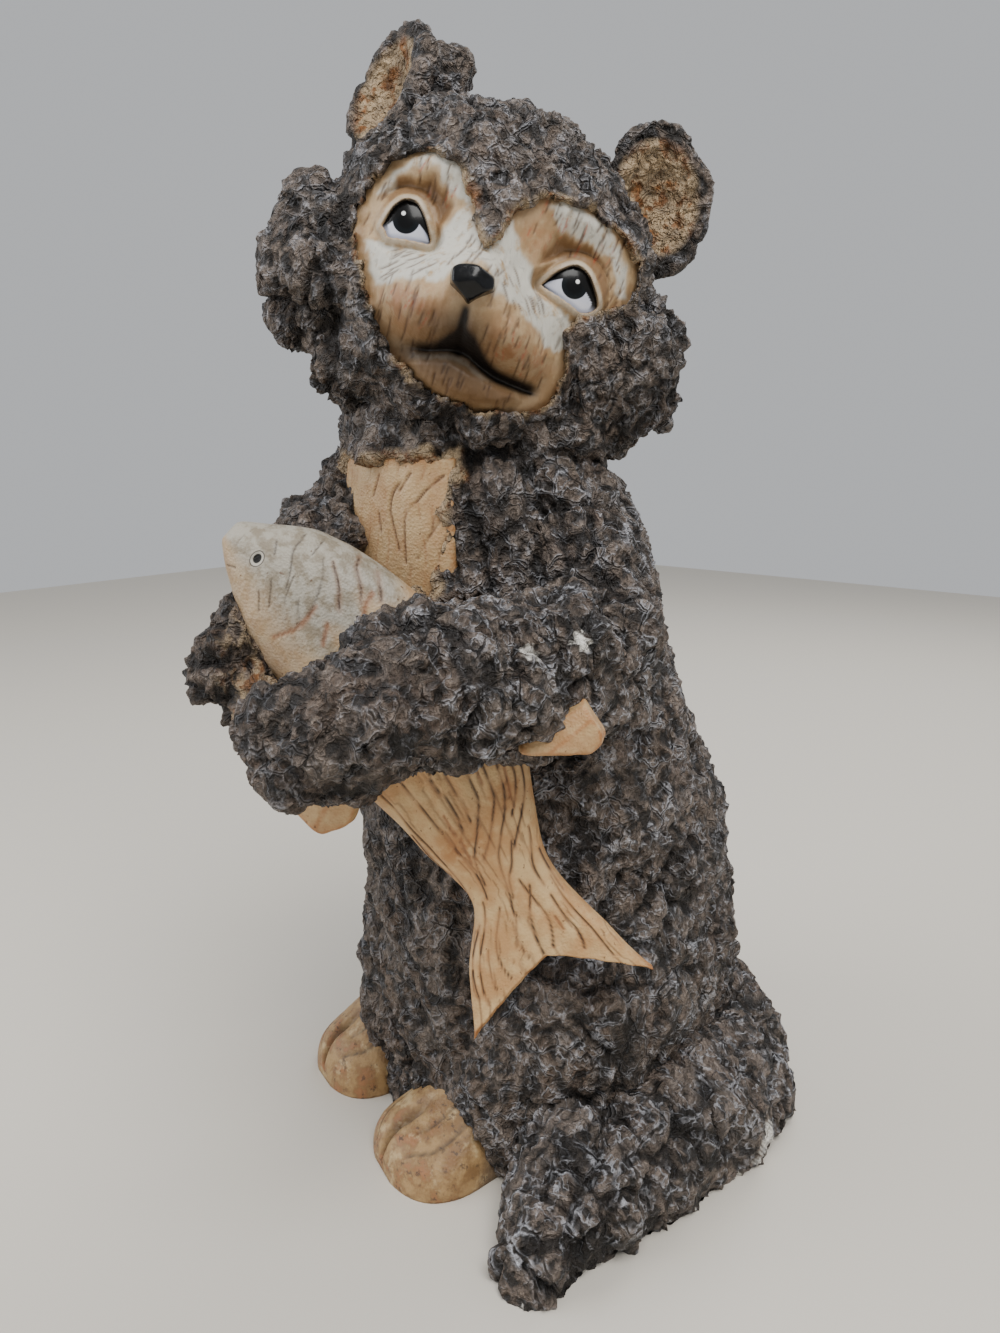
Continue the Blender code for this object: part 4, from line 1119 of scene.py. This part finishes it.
FISH_CUTS = [
    [(0.568, -0.45), (0.6, -0.49), (0.655, -0.47), (0.72, -0.45), (0.755, -0.47), (0.795, -0.59)],
    [(0.582, -0.8), (0.62, -0.79), (0.664, -0.82), (0.705, -0.8), (0.745, -0.84), (0.782, -0.97)],
    [(0.586, -0.12), (0.609, -0.18), (0.636, -0.14), (0.668, -0.14), (0.691, -0.18)],
    [(0.595, 0.02), (0.618, 0.0), (0.655, 0.02), (0.682, 0.0)],
    [(0.6, 0.23), (0.655, 0.23), (0.682, 0.12), (0.709, -0.06), (0.736, -0.31), (0.773, -0.45)],
    [(0.605, 0.44), (0.659, 0.45), (0.686, 0.35), (0.714, 0.16), (0.741, -0.18)],
    [(0.609, 0.62), (0.659, 0.6), (0.695, 0.51), (0.727, 0.27), (0.755, 0.06), (0.823, -0.14), (0.85, -0.14)],
    [(0.627, 0.9), (0.677, 0.89), (0.705, 0.79), (0.727, 0.63), (0.745, 0.45)],
    [(0.623, 0.77), (0.655, 0.79), (0.686, 0.71), (0.705, 0.6)],
    [(0.736, 0.82), (0.759, 0.77), (0.782, 0.68), (0.814, 0.68)],
    [(0.736, 0.45), (0.764, 0.27), (0.782, 0.06), (0.814, -0.06)],
    [(0.791, 0.25), (0.827, 0.31), (0.868, 0.33), (0.914, 0.23), (0.955, 0.14)],
    [(0.832, 0.66), (0.873, 0.59), (0.905, 0.59), (0.95, 0.49)],
    [(0.81, 0.9), (0.85, 0.82), (0.9, 0.8), (0.959, 0.76)],
    [(0.805, 0.4), (0.855, 0.1), (0.932, 0.0), (0.977, 0.0)],
    [(0.85, -0.14), (0.891, -0.21), (0.955, -0.16)],
    [(0.818, -0.4), (0.859, -0.52), (0.909, -0.51), (0.959, -0.42)],
    [(0.8, -0.72), (0.84, -0.76), (0.9, -0.82), (0.96, -0.76)],
    [(0.832, -0.87), (0.864, -0.94), (0.905, -0.92), (0.936, -0.87)],
    [(0.877, -0.67), (0.918, -0.66), (0.95, -0.62)],
    [(0.673, -0.9), (0.718, -0.95), (0.745, -0.93)],
    [(0.77, 0.92), (0.8, 0.95), (0.832, 0.93)],
    [(0.3, 0.76), (0.332, 0.59), (0.357, 0.36)],
    [(0.336, 0.85), (0.355, 0.73), (0.37, 0.59)],
    [(0.36, 0.94), (0.377, 0.82), (0.386, 0.74)],
    [(0.327, 0.96), (0.336, 0.84)],
]
FISH_RED = [
    [(0.332, 0.2), (0.334, 0.0), (0.332, -0.2), (0.318, -0.49)],
    [(0.359, 0.14), (0.373, -0.08)],
    [(0.372, 0.75), (0.376, 0.6), (0.386, 0.47)],
    [(0.66, -0.3), (0.69, -0.32)],
    [(0.7, -0.28), (0.735, -0.38)],
    [(0.6, 0.35), (0.64, 0.36)],
    [(0.615, 0.7), (0.68, 0.66)],
    [(0.87, 0.45), (0.9, 0.42)],
]
FISH_FINE = [
    [(0.273, 0.73), (0.305, 0.56), (0.323, 0.31), (0.332, 0.08)],
    [(0.186, 0.9), (0.2, 0.52), (0.264, 0.1)],
    [(0.205, 0.02), (0.268, -0.25)],
    [(0.305, 0.1), (0.327, -0.06)],
    [(0.2, -0.27), (0.259, -0.44)],
    [(0.064, 0.49), (0.068, 0.06)],
    [(0.15, 0.66), (0.168, 0.4)],
    [(0.225, 0.95), (0.235, 0.7)],
    [(0.25, 0.3), (0.29, -0.05)],
    [(0.091, -0.75), (0.118, -0.45)],
]
FISH_EYE = (0.145, 0.14)


def line_marks(x, y, lines, half):
    """1 on the lines and falling off across them, for places and lines in the same two coordinates."""
    marks = np.zeros(x.shape)
    for line in lines:
        for (ax, ay), (bx, by) in zip(line[:-1], line[1:]):
            dx, dy = bx - ax, by - ay
            t = np.clip(((x - ax) * dx + (y - ay) * dy) / (dx * dx + dy * dy + 1e-9), 0, 1)
            away = np.hypot(x - ax - t * dx, y - ay - t * dy)
            marks = np.maximum(marks, np.exp(-((away / half) ** 2)))
    return marks


def bare_paint():
    """Tan carved resin: grey in places, orange and brown round the cuts, fine dark specks, and a small eye
    with a pale ring, where the mesh has one."""
    material, tree, shader = new_material("bare_paint", 0.5, 0.4)
    grey = painted(tree, "a49e91", ("877d6c", speckle(tree, 0.004, 0.42, 0.62)))
    eye = mask_of(tree, "eye")
    under = painted(
        tree, "cbab7c",
        ("b78e5f", speckle(tree, 0.009, 0.35, 0.65)),
        (grey, "grey"),
        ("a06a3a", "blush", speckle(tree, 0.003, 0.3, 0.6)),
        ("a0623a", "halo", 0.6),
        ("31221a", "cut"),
        ("5b3b24", speckle(tree, 0.0016, 0.66, 0.70), 0.7),
        ("3a332c", ramp(tree, eye, 0.30, 0.36)),
        ("b5b0a4", ramp(tree, eye, 0.38, 0.43)),
        ("0d0b0a", ramp(tree, eye, 0.58, 0.64)))
    tree.links.new(under, shader.inputs["Base Color"])
    bumped(tree, shader, grain(tree, 0.0009), 0.5, 0.0004)
    return material


BARE_PAINT = bare_paint()


def fish():
    """Rings round the axis, flattened into the tail fin, with the lines cut into them along the flank. A
    place on the flank is its share of the length and its height, -1 at the belly and 1 at the back. The outer
    flank has three points for each one of the flank against the body."""
    path = through(FISH, 60)
    late = np.interp(np.linspace(0, 1, FISH_RINGS), [0, 0.4, 0.5, 1], [0, 0.45, 0.5, 1])
    path = np.stack([np.interp(late, np.linspace(0, 1, len(path)), column) for column in path.T], -1)
    late = late[:, None]
    middle, above, below, half_thick = path[:, :3], path[:, 3:4], path[:, 4:5], path[:, 5:6]
    along = unit(np.gradient(middle, axis=0))
    facing = np.array(FISH_FACING)
    high = unit(np.cross(facing, along))
    half = np.linspace(0, math.pi, FLANK_POINTS)[None, :]
    half = half - 0.3 * np.sin(2 * half) * (1 - 0.6 * late)
    turn = np.concatenate([half, 2 * math.pi - half[:, 3:-1:3][:, ::-1]], axis=1)
    up = np.cos(turn)
    rise = up * np.where(up > 0, above, below)
    out = np.sign(np.sin(turn)) * np.abs(np.sin(turn)) ** (0.9 - 0.45 * late**3)
    fork = np.where(up > 0, *TAIL_FORK) * smooth_step(late, 0.8, 1.0) * (np.abs(up) ** 1.2 - 0.1)
    share = (late * (len(FISH) - 1) - 1) / (len(FISH) - 2)
    x, y = share * FISH_LENGTH + 0 * up, rise

    def lines(kind):
        return [[(s * FISH_LENGTH, v * np.interp(s, share[:, 0], (above if v > 0 else below)[:, 0]))
                 for s, v in through(line, 5)] for line in kind]

    worn = smooth_step(flat_cloud(x, y, 4.0, 97), 0.25, 0.5)
    bold = line_marks(x, y, lines(FISH_CUTS), 0.32) * (0.4 + 0.6 * worn)
    grained = smooth_step(np.sin(46 * up + 2.0 * np.sin(x * 0.07) + 3.0 * worn), 0.55, 1.0)
    grained = grained * smooth_step(share, 0.54, 0.62)
    grained = grained * smooth_step(flat_cloud(0.2 * x, y, 3.0, 98), 0.4, 0.6)
    fine = line_marks(x, y, lines(FISH_FINE), 0.34) * (0.5 + 0.5 * worn)
    red = line_marks(x, y, lines(FISH_RED), 0.4)
    halo = line_marks(x, y, lines(FISH_CUTS + FISH_RED), 0.75)
    eye_x = FISH_EYE[0] * FISH_LENGTH
    eye_y = FISH_EYE[1] * np.interp(FISH_EYE[0], share[:, 0], above[:, 0])
    from_eye = np.hypot(x - eye_x, y - eye_y)
    dent = 1 - smooth_step(from_eye, 1.2, 2.2)
    bevel = smooth_step(late, 0.982, 1.0)
    ripple = 0.25 * np.sin(y * 0.9 + 1.4 * np.sin(x * 0.11)) * smooth_step(x, 80, 100)
    carved = (0.6 * bold + 0.2 * grained + 0.35 * fine + 0.4 * red + 0.6 * dent - ripple
              + 0.7 * bevel * half_thick * np.abs(out))
    open_flank = np.minimum(1.0, 3.0 * np.abs(np.sin(turn)))
    out_mm = half_thick * out - carved * np.sign(out) * open_flank * (out > 0)
    rings = (middle[:, None] + high[:, None] * rise[..., None]
             + facing * out_mm[..., None] + along[:, None] * fork[..., None])
    rows, around = rings.shape[:2]
    back = [0, *range(around - 1, FLANK_POINTS - 1, -1), FLANK_POINTS - 1]
    caps = []
    for k in range(len(back) - 1):
        cap = [3 * k, 3 * k + 1, 3 * k + 2, 3 * k + 3, back[k + 1], back[k]]
        cap = [corner for place, corner in enumerate(cap) if corner not in cap[:place]]
        caps += [cap, [(rows - 1) * around + corner for corner in reversed(cap)]]
    share = share + 0 * up
    grey = 1 - smooth_step(share + 0.02 * np.sin(y * 0.5), 0.36, 0.44)
    grey = grey * (0.5 + 0.5 * smooth_step(up, -0.6, 0.1))
    blush = (0.8 * np.exp(-(((share - 0.715) / 0.03) ** 2) - ((up + 0.35) / 0.5) ** 2)
             + 0.4 * np.exp(-(((share - 0.67) / 0.02) ** 2) - ((up - 0.5) / 0.4) ** 2)
             + 0.35 * smooth_step(np.abs(up), 0.88, 1.0) * smooth_step(share, 0.5, 0.7)
             + 0.15 * (1 - grey) * (1 - smooth_step(share, 0.3, 0.5)) + 0.7 * smooth_step(late, 0.98, 0.984))
    masks = {"grey": grey, "blush": blush, "halo": 0.5 * halo + 0.9 * red + 0.35 * grained,
             "cut": 0.9 * bold + 0.75 * fine + 0.35 * red + 0.35 * grained,
             "eye": np.clip(1 - from_eye / 4, 0, 1)}
    return (rings.reshape(-1, 3), grid_faces(rows, around, True).tolist() + caps,
            {name: np.clip(mask, 0, 1).reshape(-1) for name, mask in masks.items()})


points, faces, masks = fish()
finished("fish", points, faces, BARE_PAINT, masks)

# The fins.
# Two small blunt fins stand out past the left arm, cut to flat planes like the nose.
# Each has its middle, the way it points, and its planes: the way each faces, across, out of the flank and
# along, and how far it lies from the middle.
NEAR_FIN = ((75, -74, 177), (0.77, 0.64, -0.1), [
    ((-0.15, 0.25, 0.95), 10.0), ((0.62, 0.1, 0.78), 7.8), ((0.78, 0.05, -0.62), 5.0),
    ((-1.0, 0.2, 0.1), 7.2), ((-0.7, 0.1, 0.75), 9.4), ((0.35, 1.0, -0.25), 4.6), ((-0.1, 1.0, 0.2), 5.2),
    ((0.0, -1.0, 0.0), 5.0), ((0.0, 0.0, -1.0), 14.0),
])
FAR_FIN = ((9.5, -109, 150), (-0.11, -0.16, -0.98), [
    ((-0.55, 0.2, 0.85), 9.4), ((0.55, 0.2, 0.85), 9.6), ((0.0, 0.2, 1.0), 12.2), ((1.0, 0.1, 0.1), 9.5),
    ((-1.0, 0.1, 0.1), 9.5), ((0.25, 1.0, 0.25), 5.8), ((-0.25, 1.0, 0.1), 5.6), ((0.0, -1.0, 0.0), 6.0),
    ((0.0, 0.0, -1.0), 14.0),
])


def fin(name, middle, pointing, planes, seed):
    """A cut block that points away from the fish, its faces slightly uneven, its edges rubbed with ochre."""
    along = unit(np.array(pointing, float))
    facing = np.array(FISH_FACING)
    points, faces = closed_rings(cut_stone(planes, 12, 46, 72))
    points = points * (1 + 0.05 * (cloud(points, 3.0, seed)[:, None] - 0.5))
    reach = np.array([np.maximum(points @ unit(np.array(plane[0], float)), 0) / plane[1] for plane in planes])
    reach.sort(axis=0)
    edge = smooth_step(reach[-2] / reach[-1], 0.88, 0.98)
    end = smooth_step(points[:, 2], 5.0, 10.0)
    pits = smooth_step(cloud(points, 1.6, seed + 1), 0.86, 0.93) * end
    masks = {"grey": 0.12 + 0 * edge, "blush": 0.2 + 0.45 * end + 0.3 * edge, "halo": 0.5 * edge,
             "cut": 0.8 * pits}
    points = np.array(middle, float) + points @ np.array([np.cross(facing, along), facing, along])
    finished(name, points, faces, BARE_PAINT, masks)


fin("fin_near", *NEAR_FIN, 101)
fin("fin_far", *FAR_FIN, 103)

# The chest.
# A bare patch over the fish, tan and slightly hollow. It is scored with long leaning cuts, and ochre at its
# edges.
CHEST_BEHIND = (-6.0, -20.0, 228.0)
CHEST_STEPS = (0.7, 0.6)
CHEST_CUTS = [
    [(11, 244), (6.5, 240), (4.5, 235), (5, 230.5), (6.5, 222)],
    [(18, 238), (14, 235), (11.5, 232), (9, 218)],
    [(30, 246), (22.5, 241.7), (18, 238)],
    [(-1.5, 246), (-6, 239)],
    [(-2, 233.5), (-1, 222)],
    [(33, 241.7), (28.5, 234.6), (19.5, 225.7), (14.5, 219.5)],
    [(24, 233), (22, 229)],
    [(27.5, 227), (22, 218.8)],
    [(16, 246.6), (10, 241)],
]


def chest():
    """A curved slab just inside the torso's surface, open cuts in its front and a point behind."""
    path = through(TORSO, 12)
    angle, level = np.meshgrid(np.arange(-42, 47.01, CHEST_STEPS[0]), np.arange(198, 259.01, CHEST_STEPS[1]),
                               indexing="ij")
    cx, cy, rx, ry = (np.interp(level, path[:, 2], path[:, k]) for k in (0, 1, 3, 4))
    across = np.radians(angle) * 50
    lines = [[(math.radians(a) * 50, z) for a, z in through(line, 5)] for line in CHEST_CUTS]
    worn = smooth_step(flat_cloud(across, level, 5.0, 107), 0.25, 0.55)
    cut = line_marks(across, level, lines, 0.4) * (0.3 + 0.7 * worn)
    wavy = across * 1.3 - 0.22 * level + 1.6 * np.sin(level * 0.16 + across * 0.07)
    fine = smooth_step(np.sin(wavy), 0.8, 1.0) * (1 - worn)
    plane = 0.5 * np.sin(across * 0.16 + 0.05 * level) + 0.25 * np.sin(across * 0.5 - 0.1 * level)
    sunk = CHEST_RECESS + 0.7 * cut + 0.2 * fine - plane
    leaning = angle + 0.22 * (CHEST_HEIGHT[1] - level)
    edge = np.max([np.abs(angle - 2.5) / 33, (leaning - 2.5) / 33, np.abs(level - 228.5) / 23], axis=0)
    sunk = sunk + 12 * smooth_step(edge, 0.97, 1.12)
    x = cx + (rx - sunk) * np.sin(np.radians(angle))
    y = cy - (ry - sunk) * np.cos(np.radians(angle))
    masks = {"grey": 0.18 + 0 * cut, "blush": 0.1 + 0.6 * smooth_step(edge, 0.85, 1.0),
             "halo": 0.5 * fine + 0.6 * cut, "cut": 0.7 * cut + 0.1 * fine}
    return closed_sheet(np.stack([x, y, level], -1), CHEST_BEHIND, masks)


points, faces, masks = chest()
finished("chest", points, faces, BARE_PAINT, masks)

# The feet.
# Each foot is a bare arched wedge with grooves between its toes. It is grey at the ankle and ochre at the
# toes, and speckled with dark paint.
LEFT_FOOT = ((25, -31), (-0.38, -0.925), 59, 26, 38)
RIGHT_FOOT = ((-37, -14), (-0.33, -0.944), 53, 23, 45)
TOE_GROOVE = 6.0
FOOT_CUTS = [
    [(0.45, -0.55), (0.7, -0.62), (0.95, -0.6)],
    [(0.4, 0.3), (0.62, 0.38), (0.8, 0.32)],
    [(0.5, 0.62), (0.75, 0.66), (0.9, 0.55)],
    [(0.3, -0.3), (0.5, -0.2)],
    [(0.25, 0.1), (0.4, 0.2)],
]


def foot_paint():
    """Ochre toes under a grey ankle, mottled, with dark specks and cuts."""
    material, tree, shader = new_material("foot_paint", 0.5, 0.4)
    under = painted(
        tree, "a3845a",
        ("846643", speckle(tree, 0.006, 0.38, 0.6)),
        ("9c6c48", "blush", speckle(tree, 0.006, 0.5, 0.66), 0.8),
        ("c4ac82", speckle(tree, 0.007, 0.55, 0.7), 0.7),
        ("5d564e", "grey"),
        ("4a3a30", speckle(tree, 0.0022, 0.56, 0.64), 0.8, speckle(tree, 0.012, 0.4, 0.6)),
        ("2f2620", "cut"))
    tree.links.new(under, shader.inputs["Base Color"])
    bumped(tree, shader, grain(tree, 0.0012), 0.35, 0.0005)
    return material


FOOT_PAINT = foot_paint()


def foot(name, heel, pointing, length, half_width, height, seed):
    """Arches across the foot, from the heel to the toes, with grooves between the toes."""
    ahead = unit(np.array([*pointing, 0.0]))
    side = np.array([-ahead[1], ahead[0], 0.0])
    t = np.linspace(0.01, 0.99, 100)[:, None]
    turn = full_turn(130)[None, :]
    width = half_width * np.sqrt(1 - (2 * t - 1) ** 4) * (0.8 + 0.2 * smooth_step(t, 0.2, 0.7))
    rise = height * (1 - 0.52 * smooth_step(t, 0.15, 0.85)) * np.sqrt(1 - np.clip(2 * t - 1, 0, 1) ** 4)
    across = np.cos(turn)
    arch = np.clip(np.sin(turn), -0.12, None)
    above = arch > 0
    between = -0.16 + 0.35 * (1 - t)
    deep = smooth_step(t, 0.58, 0.82) * np.exp(-(((across - between) / (0.02 + 0.09 * t)) ** 2)) * above
    inwards = smooth_step(t, 0.8, 0.97)
    lines = [[(1.5 * a, b) for a, b in line] for line in FOOT_CUTS]
    fine = line_marks(1.5 * t + 0 * turn, across + 0 * t, lines, 0.022) * above
    up = rise * arch - TOE_GROOVE * deep * (1 - inwards) - 0.6 * fine
    places = (np.array([*heel, 0.0]) + ahead * (length * t - TOE_GROOVE * deep * inwards)[..., None]
              + side * (width * across)[..., None] + np.array([0, 0, 1.0]) * up[..., None])
    points, faces = closed_rings(places)
    near, _, _, _ = cells(points, 4.0, seed)
    points[:, 2] += np.where(points[:, 2] > 2, 0.5 * (0.5 - near), 0)
    share = np.append((t + 0 * turn).reshape(-1), [0.0, 1.0])
    masks = {"grey": 0.85 * (1 - smooth_step(share + 0.05 * np.sin(points[:, 0]), 0.28, 0.55)),
             "blush": smooth_step(share, 0.55, 0.9),
             "cut": np.append(np.clip(0.8 * deep + 0.7 * fine, 0, 1).reshape(-1), [0.0, 0.0])}
    finished(name, points, faces, FOOT_PAINT, masks)


foot("foot_left", *LEFT_FOOT, 71)
foot("foot_right", *RIGHT_FOOT, 73)

# The ground.
# A plain pale sheet under the figure for the pictures; it isn't part of the casting.
floor_mesh = bpy.data.meshes.new("floor")
floor_mesh.from_pydata([(-1.5, -1.5, 0), (1.5, -1.5, 0), (1.5, 1.5, 0), (-1.5, 1.5, 0)], [], [(0, 1, 2, 3)])
floor = bpy.data.objects.new("floor", floor_mesh)
bpy.context.scene.collection.objects.link(floor)
plain, _, plain_shader = new_material("plain_ground", 0.7)
plain_shader.inputs["Base Color"].default_value = colour("cfc9be")
floor_mesh.materials.append(plain)
